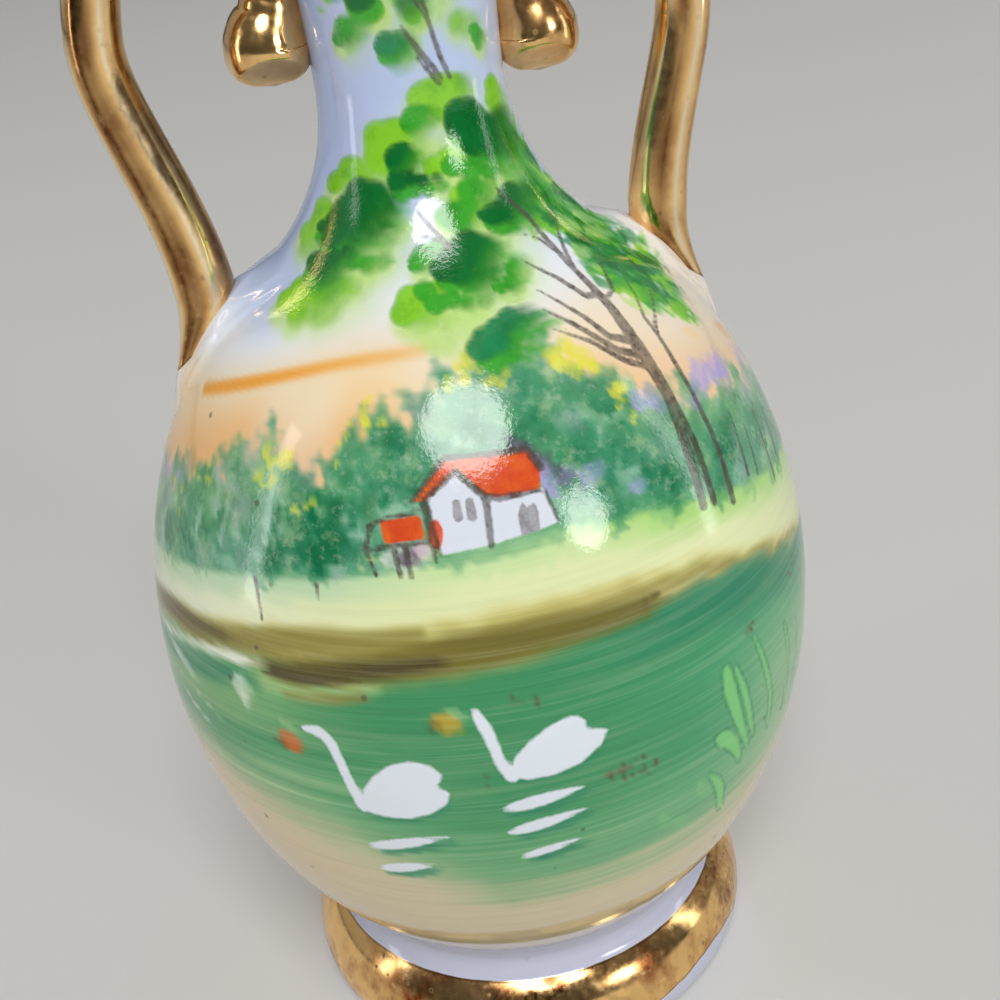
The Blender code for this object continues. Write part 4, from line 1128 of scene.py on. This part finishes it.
def keepPicture(thing, c, s):
    layer = thing.data.attributes.new("picture", "FLOAT_COLOR", "POINT")
    tone = np.ones((len(c.tone), 4))
    tone[:, :3] = linearTone(np.where(c.outside[:, None], np.clip(c.tone, 0, 255), tones["white"]))
    layer.data.foreach_set("color", tone.astype(np.float32).ravel())
    for word, values in c.edges.items():
        keepValues(thing, word + "Edge", values)
    for word in ("enamel", "brushed", "dabbed"):
        keepValues(thing, word, getattr(c, word) * c.outside)
    z = c.level
    low = s["footLow"] + s["rimRise"] * np.exp(-(((c.angle - s["rimAngle"]) / s["rimSpread"]) ** 2)) + 0.12 * c.middle
    foot = np.minimum(z - low, float(runAt(s["footHigh"])) - c.run)
    foot = np.where(c.outside, foot, -3)
    stain = sum(depth * np.exp(-(((c.angle - at) / wide) ** 2)) for at, wide, depth in s["stains"])
    stain = stain + 0.3 * ease(-c.middle, 0.2, 1.0)
    keepValues(thing, "footStain", np.clip(stain, 0, 1))
    lip = z - np.where(c.outside, s["lipOuter"], s["lipInner"]) + 0.15 * c.middle
    keepValues(thing, "giltReach", np.clip(np.maximum(foot, lip), -3, 3))
    bare = np.where((z < s["bareLevel"]) | (~c.outside & (z < vase["recessDepth"] + s["bareRecess"])), 1.0, 0.0)
    keepValues(thing, "bare", bare)


keepPicture(porcelain, canvas, gilding)


# Materials

def isSocket(value):
    return isinstance(value, bpy.types.NodeSocket)


class Bench:
    # short ways to place and join nodes in one tree
    def __init__(self, tree):
        self.tree = tree

    def feed(self, socket, value):
        if isSocket(value):
            self.tree.links.new(value, socket)
        elif value is not None:
            socket.default_value = value

    def add(self, kind, **settings):
        item = self.tree.nodes.new(kind)
        for word, value in settings.items():
            setattr(item, word, value)
        return item

    def math(self, operation, a, b=None, clamp=False):
        item = self.add("ShaderNodeMath", operation=operation, use_clamp=clamp)
        self.feed(item.inputs[0], a)
        self.feed(item.inputs[1], b)
        return item.outputs[0]

    def times(self, a, b, clamp=False):
        return self.math("MULTIPLY", a, b, clamp)

    def plus(self, a, b):
        return self.math("ADD", a, b)

    def darker(self, tone, by):
        return self.mix(1.0, tone, rgba(by), "MULTIPLY")

    def mix(self, amount, a, b, blend="MIX"):
        item = self.add("ShaderNodeMix", data_type="RGBA", blend_type=blend)
        self.feed(item.inputs[0], amount)
        self.feed(item.inputs[6], a)
        self.feed(item.inputs[7], b)
        return item.outputs[2]

    def between(self, amount, a, b):
        item = self.add("ShaderNodeMix", data_type="FLOAT")
        self.feed(item.inputs[0], amount)
        self.feed(item.inputs[2], a)
        self.feed(item.inputs[3], b)
        return item.outputs[0]

    def stretch(self, value, low, high, toLow=0.0, toHigh=1.0):
        item = self.add("ShaderNodeMapRange")
        for socket, number in zip(item.inputs, (value, low, high, toLow, toHigh)):
            self.feed(socket, number)
        return item.outputs[0]

    def noise(self, scale, detail=2.0, roughness=0.5, stretchBy=(1, 1, 1), move=(0, 0, 0)):
        place = self.add("ShaderNodeTexCoord").outputs["Object"]
        mapping = self.add("ShaderNodeMapping")
        self.feed(mapping.inputs["Vector"], place)
        mapping.inputs["Scale"].default_value = stretchBy
        mapping.inputs["Location"].default_value = move
        item = self.add("ShaderNodeTexNoise")
        self.feed(item.inputs["Vector"], mapping.outputs[0])
        item.inputs["Scale"].default_value = scale
        item.inputs["Detail"].default_value = detail
        item.inputs["Roughness"].default_value = roughness
        return item.outputs["Fac"]

    def specks(self, scale, size):
        # round spots in some cells only
        place = self.add("ShaderNodeTexCoord").outputs["Object"]
        item = self.add("ShaderNodeTexVoronoi")
        self.feed(item.inputs["Vector"], place)
        item.inputs["Scale"].default_value = scale
        near = self.stretch(item.outputs["Distance"], size, size * 0.6)
        tone = self.add("ShaderNodeSeparateColor")
        self.feed(tone.inputs[0], item.outputs["Color"])
        return near, tone.outputs[0]

    def value(self, name):
        return self.add("ShaderNodeAttribute", attribute_name=name).outputs["Fac"]

    def tone(self, name):
        return self.add("ShaderNodeAttribute", attribute_name=name).outputs["Color"]

    def bump(self, height, strength, distance, normal=None):
        item = self.add("ShaderNodeBump")
        item.inputs["Strength"].default_value = strength
        item.inputs["Distance"].default_value = distance
        self.feed(item.inputs["Height"], height)
        self.feed(item.inputs["Normal"], normal)
        return item.outputs[0]


def effectGroup(name, inputs, outputs, build):
    # a node group with named sockets, filled in by its own function
    tree = bpy.data.node_groups.new(name, "ShaderNodeTree")
    for word, kind in inputs:
        tree.interface.new_socket(word, in_out="INPUT", socket_type=kind)
    for word, kind in outputs:
        tree.interface.new_socket(word, in_out="OUTPUT", socket_type=kind)
    bench = Bench(tree)
    entry, leave = bench.add("NodeGroupInput"), bench.add("NodeGroupOutput")
    for word, value in build(bench, entry.outputs).items():
        bench.feed(leave.inputs[word], value)
    return tree


colour, number = "NodeSocketColor", "NodeSocketFloat"


def buildGilding(b, given):
    # thin bright gold over glaze: where it lies, how it has rubbed, browned and speckled, and the painted dark
    # reflections and painted highlights given to it
    wander = b.times(b.math("SUBTRACT", b.noise(700, 3), 0.5), 0.12)
    edge = b.plus(given["Reach"], wander)
    cover = b.stretch(edge, -0.03, 0.05)
    line = b.times(b.stretch(edge, 0.22, 0.08), cover)
    cloud = b.noise(260, 4, 0.6)
    fine = b.noise(1500, 3, 0.6, move=(3, 1, 0))
    brown = b.times(b.stretch(cloud, 0.46, 0.70), given["Wear"], clamp=True)
    tone = b.mix(brown, rgba((250, 204, 134)), rgba((146, 70, 32)))
    # darker gold where this input is above nought: worn stains on the foot, painted dark reflection bands on the
    # handles
    darkStainAndReflection = b.times(given["Streak"], b.stretch(fine, 0.3, 0.7, 1.0, 0.78), clamp=True)
    tone = b.mix(darkStainAndReflection, tone, rgba((88, 36, 12)))
    # paler gold where it is below nought: painted highlight stripes on the handles
    tone = b.mix(b.times(given["Streak"], -0.85, clamp=True), tone, rgba((255, 240, 204)))
    pale = b.times(b.stretch(fine, 0.60, 0.76), given["Wear"], clamp=True)
    tone = b.mix(b.times(pale, 0.5), tone, rgba((236, 214, 160)))
    near, pick = b.specks(1300, 0.28)
    spots = b.times(near, b.stretch(pick, 0.72, 0.74))
    spots = b.times(spots, b.times(given["Wear"], b.stretch(cloud, 0.40, 0.58)), clamp=True)
    tone = b.mix(spots, tone, rgba((66, 60, 36)))
    tone = b.mix(b.times(line, 0.55), tone, rgba((86, 48, 30)))
    rough = b.plus(b.stretch(fine, 0.35, 0.75, 0.10, 0.24), b.times(brown, 0.14))
    rough = b.plus(rough, b.times(spots, 0.3))
    metal = b.times(cover, b.stretch(spots, 0, 1, 1, 0.2))
    height = b.plus(b.times(cover, 0.4), b.times(fine, b.times(given["Wear"], 0.3)))
    return {"Cover": cover, "Color": tone, "Roughness": rough, "Metallic": metal, "Height": height}


gildingGroup = effectGroup(
    "gildingOverGlaze", [("Reach", number), ("Wear", number), ("Streak", number)],
    [("Cover", number), ("Color", colour), ("Roughness", number), ("Metallic", number),
     ("Height", number)], buildGilding)


def buildGlaze(b, given):
    # glassy glaze with a faint ripple, pinholes and rubbed-in dust
    ripples = b.noise(420, 2, 0.5)
    near, pick = b.specks(520, 0.13)
    holes = b.times(near, b.stretch(pick, 0.86, 0.88))
    tone = b.mix(b.times(holes, 0.62), given["Color"], rgba((70, 62, 44)))
    dust = b.noise(120, 5, 0.65)
    tone = b.mix(b.times(b.stretch(dust, 0.55, 0.80), given["Dust"]), tone, rgba((170, 160, 140)))
    rough = b.plus(b.stretch(dust, 0.3, 0.8, 0.045, 0.11), b.times(holes, 0.3))
    return {"Color": tone, "Roughness": rough, "Height": b.math("SUBTRACT", ripples, holes)}


glazeGroup = effectGroup(
    "agedGlaze", [("Color", colour), ("Dust", number)],
    [("Color", colour), ("Roughness", number), ("Height", number)], buildGlaze)


def placeGroup(b, tree, **given):
    item = b.add("ShaderNodeGroup")
    item.node_tree = tree
    for word, value in given.items():
        b.feed(item.inputs[word], value)
    return item.outputs


def newMaterial(name):
    material = bpy.data.materials.new(name)
    material.use_nodes = True
    return material, Bench(material.node_tree), material.node_tree.nodes["Principled BSDF"]


def finishShader(b, shader, base, rough, metal, normal):
    for word, value in (("Base Color", base), ("Roughness", rough), ("Metallic", metal), ("Normal", normal)):
        b.feed(shader.inputs[word], value)
    shader.inputs["IOR"].default_value = 1.52
    shader.inputs["Coat Weight"].default_value = 0.0


def paintedPorcelain():
    material, b, shader = newMaterial("paintedPorcelain")
    picture = b.tone("picture")
    brushed, dabbed, enamel = b.value("brushed"), b.value("dabbed"), b.value("enamel")

    # fine strokes left by a flat brush that went round the vase
    lines = b.noise(1.0, 4, 0.62, (70, 70, 3300))
    broad = b.noise(1.0, 3, 0.55, (45, 45, 900), (5, 2, 0))
    dark = b.times(b.stretch(lines, 0.50, 0.78), brushed)
    light = b.times(b.stretch(lines, 0.48, 0.24), brushed)
    tone = b.mix(b.times(dark, 0.30), picture, b.darker(picture, (120, 160, 130)))
    tone = b.mix(b.times(light, 0.13), tone, rgba((214, 224, 190)))
    tone = b.mix(b.times(b.times(b.stretch(broad, 0.52, 0.72), brushed), 0.12), tone,
                 rgba((206, 222, 176)))
    # pooled and thinned enamel in the leaves
    pool = b.noise(620, 4, 0.62, move=(1, 7, 2))
    thin = b.noise(1700, 3, 0.6, move=(4, 0, 2))
    tone = b.mix(b.times(b.times(b.stretch(pool, 0.50, 0.72), dabbed), 0.42), tone,
                 b.darker(tone, (110, 165, 120)))
    tone = b.mix(b.times(b.times(b.stretch(pool, 0.46, 0.28), dabbed), 0.35), tone,
                 rgba((206, 226, 176)))
    tone = b.mix(b.times(b.times(b.stretch(thin, 0.56, 0.74), dabbed), 0.22), tone,
                 rgba((216, 228, 210)))

    # leaf clumps in four greens, a little darker along their edges
    for word, haze in zip(leafWords, (0.2, 0.14, 0.1, 0.02)):
        reach = b.value(word + "Edge")
        rim = b.times(b.stretch(reach, -1.0, -0.2), 0.4)
        deep = b.darker(rgba(tones[word]), (130, 190, 140))
        leaf = b.mix(b.stretch(pool, 0.44, 0.68, 0.0, 0.5), rgba(tones[word]), deep)
        leaf = b.mix(b.stretch(thin, 0.60, 0.76, 0.0, haze), leaf, rgba(tones["leafPale"]))
        leaf = b.mix(rim, leaf, b.darker(leaf, (120, 190, 140)))
        tone = b.mix(b.stretch(reach, 1.0, -1.0), tone, leaf)

    # sharp-edged parts, their edges wandering as a brush does
    wander = b.times(b.math("SUBTRACT", b.noise(2600, 2), 0.5), 0.16)

    def cut(word, soft):
        return b.stretch(b.plus(b.value(word + "Edge"), wander), soft, -soft)

    roofShade = b.mix(b.stretch(pool, 0.40, 0.66), rgba(tones["roof"]), rgba((236, 104, 30)))
    worn = b.stretch(thin, 0.34, 0.56, 0.95, 0.70)
    for word, soft, strength in (("reserve", 0.10, 0.96), ("wall", 0.07, 0.95), ("roof", 0.07, 0.94),
                                 ("reed", 0.14, 0.8),
                                 ("shade", 0.05, worn), ("ink", 0.07, worn)):
        tone = b.mix(b.times(cut(word, soft), strength), tone, roofShade if word == "roof" else rgba(tones[word]))

    glaze = placeGroup(b, glazeGroup, Color=tone, Dust=0.05)
    mottle = b.times(b.value("footStain"), b.stretch(b.noise(520, 5, 0.7, move=(8, 3, 1)), 0.42, 0.58))
    gilt = placeGroup(b, gildingGroup, Reach=b.value("giltReach"), Wear=1.0, Streak=mottle)
    bare = b.value("bare")
    base = b.mix(bare, glaze["Color"], rgba((226, 220, 208)))
    base = b.mix(gilt["Cover"], base, gilt["Color"])
    grain = b.noise(4200, 2, 0.5)
    rough = b.plus(glaze["Roughness"], b.times(enamel, b.stretch(thin, 0.3, 0.7, 0.02, 0.10)))
    rough = b.between(bare, rough, 0.75)
    rough = b.between(gilt["Cover"], rough, gilt["Roughness"])
    normal = b.bump(glaze["Height"], 0.25, 0.00001)
    normal = b.bump(b.times(grain, enamel), 0.6, 0.000022, normal)
    normal = b.bump(gilt["Height"], 0.4, 0.00004, normal)
    finishShader(b, shader, base, rough, gilt["Metallic"], normal)
    return material


def gildedPorcelain():
    material, b, shader = newMaterial("gildedPorcelain")
    glaze = placeGroup(b, glazeGroup, Color=rgba(tones["rootGlaze"]), Dust=0.08)
    # the handles' gold takes painted dark reflection bands and painted highlight stripes along the rod
    gilt = placeGroup(b, gildingGroup, Reach=b.value("giltReach"), Wear=0.45, Streak=b.value("paintedReflectionBand"))
    base = b.mix(gilt["Cover"], glaze["Color"], gilt["Color"])
    rough = b.between(gilt["Cover"], glaze["Roughness"], gilt["Roughness"])
    pull = b.noise(1.0, 3, 0.55, (700, 700, 160))
    normal = b.bump(pull, 0.25, 0.00006)
    normal = b.bump(gilt["Height"], 0.4, 0.00004, normal)
    finishShader(b, shader, base, rough, gilt["Metallic"], normal)
    return material


porcelain.data.materials.append(paintedPorcelain())
giltMaterial = gildedPorcelain()
for thing in handles.values():
    thing.data.materials.append(giltMaterial)
print("materials made")


# Stage: a plain pale floor, soft boxes and a dim room

stage = {"floor": 6.0, "floorTone": (214, 213, 210), "worldLow": 0.05, "worldHigh": 0.16}
lights = (
    # name, azimuth from the front, elevation, distance, centre height, width, height, light falling on the vase, shape
    ("keyBox", -3, 50, 3.0, 0.045, 1.6, 1.45, 2.3, "ELLIPSE"),
    ("sideBox", 34, 17, 3.0, 0.045, 0.8, 0.8, 0.55, "ELLIPSE"),
    ("leftStrip", -84, 0, 0.34, 0.14, 0.04, 0.26, 0.3, "RECTANGLE"),
    ("rightStrip", 76, 0, 0.34, 0.14, 0.035, 0.26, 0.26, "RECTANGLE"),
    ("leftSheet", -120, 30, 2.0, 0.1, 2.3, 2.3, 0.32, "RECTANGLE"),
    ("rightSheet", 118, 30, 2.0, 0.1, 2.3, 2.3, 0.36, "RECTANGLE"),
)


def addLights():
    for name, azimuth, elevation, distance, centre, wide, high, power, shape in lights:
        data = bpy.data.lights.new(name, "AREA")
        data.shape = shape
        data.size = wide
        data.size_y = high
        data.energy = power * math.pi * distance ** 2
        lamp = bpy.data.objects.new(name, data)
        a, e = math.radians(azimuth), math.radians(elevation)
        way = Vector((math.sin(a) * math.cos(e), -math.cos(a) * math.cos(e), math.sin(e)))
        lamp.location = way * distance + Vector((0, 0, centre))
        lamp.rotation_euler = way.to_track_quat("Z", "Y").to_euler()
        lamp.visible_camera = False
        bpy.context.scene.collection.objects.link(lamp)


def addWorld(s):
    world = bpy.data.worlds.new("dimRoom")
    world.use_nodes = True
    bpy.context.scene.world = world
    b = Bench(world.node_tree)
    ground = world.node_tree.nodes["Background"]
    place = b.add("ShaderNodeTexCoord").outputs["Generated"]
    parts = b.add("ShaderNodeSeparateXYZ")
    b.feed(parts.inputs[0], place)
    rise = b.stretch(parts.outputs[2], -0.1, 0.9)
    b.feed(ground.inputs["Color"], b.mix(rise, (s["worldLow"],) * 3 + (1,), (s["worldHigh"],) * 3 + (1,)))


def addFloor(s):
    form = bmesh.new()
    bmesh.ops.create_grid(form, x_segments=1, y_segments=1, size=s["floor"])
    floor = newMeshObject("floor", form)
    material, b, shader = newMaterial("paleFloor")
    shader.inputs["Base Color"].default_value = rgba(s["floorTone"])
    shader.inputs["Roughness"].default_value = 0.7
    floor.data.materials.append(material)


addLights()
addWorld(stage)
addFloor(stage)
bpy.context.scene.view_settings.view_transform = "Standard"

for thing in (porcelain, *handles.values()):
    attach(thing, "root")
    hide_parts("vase")

print("scene ready")
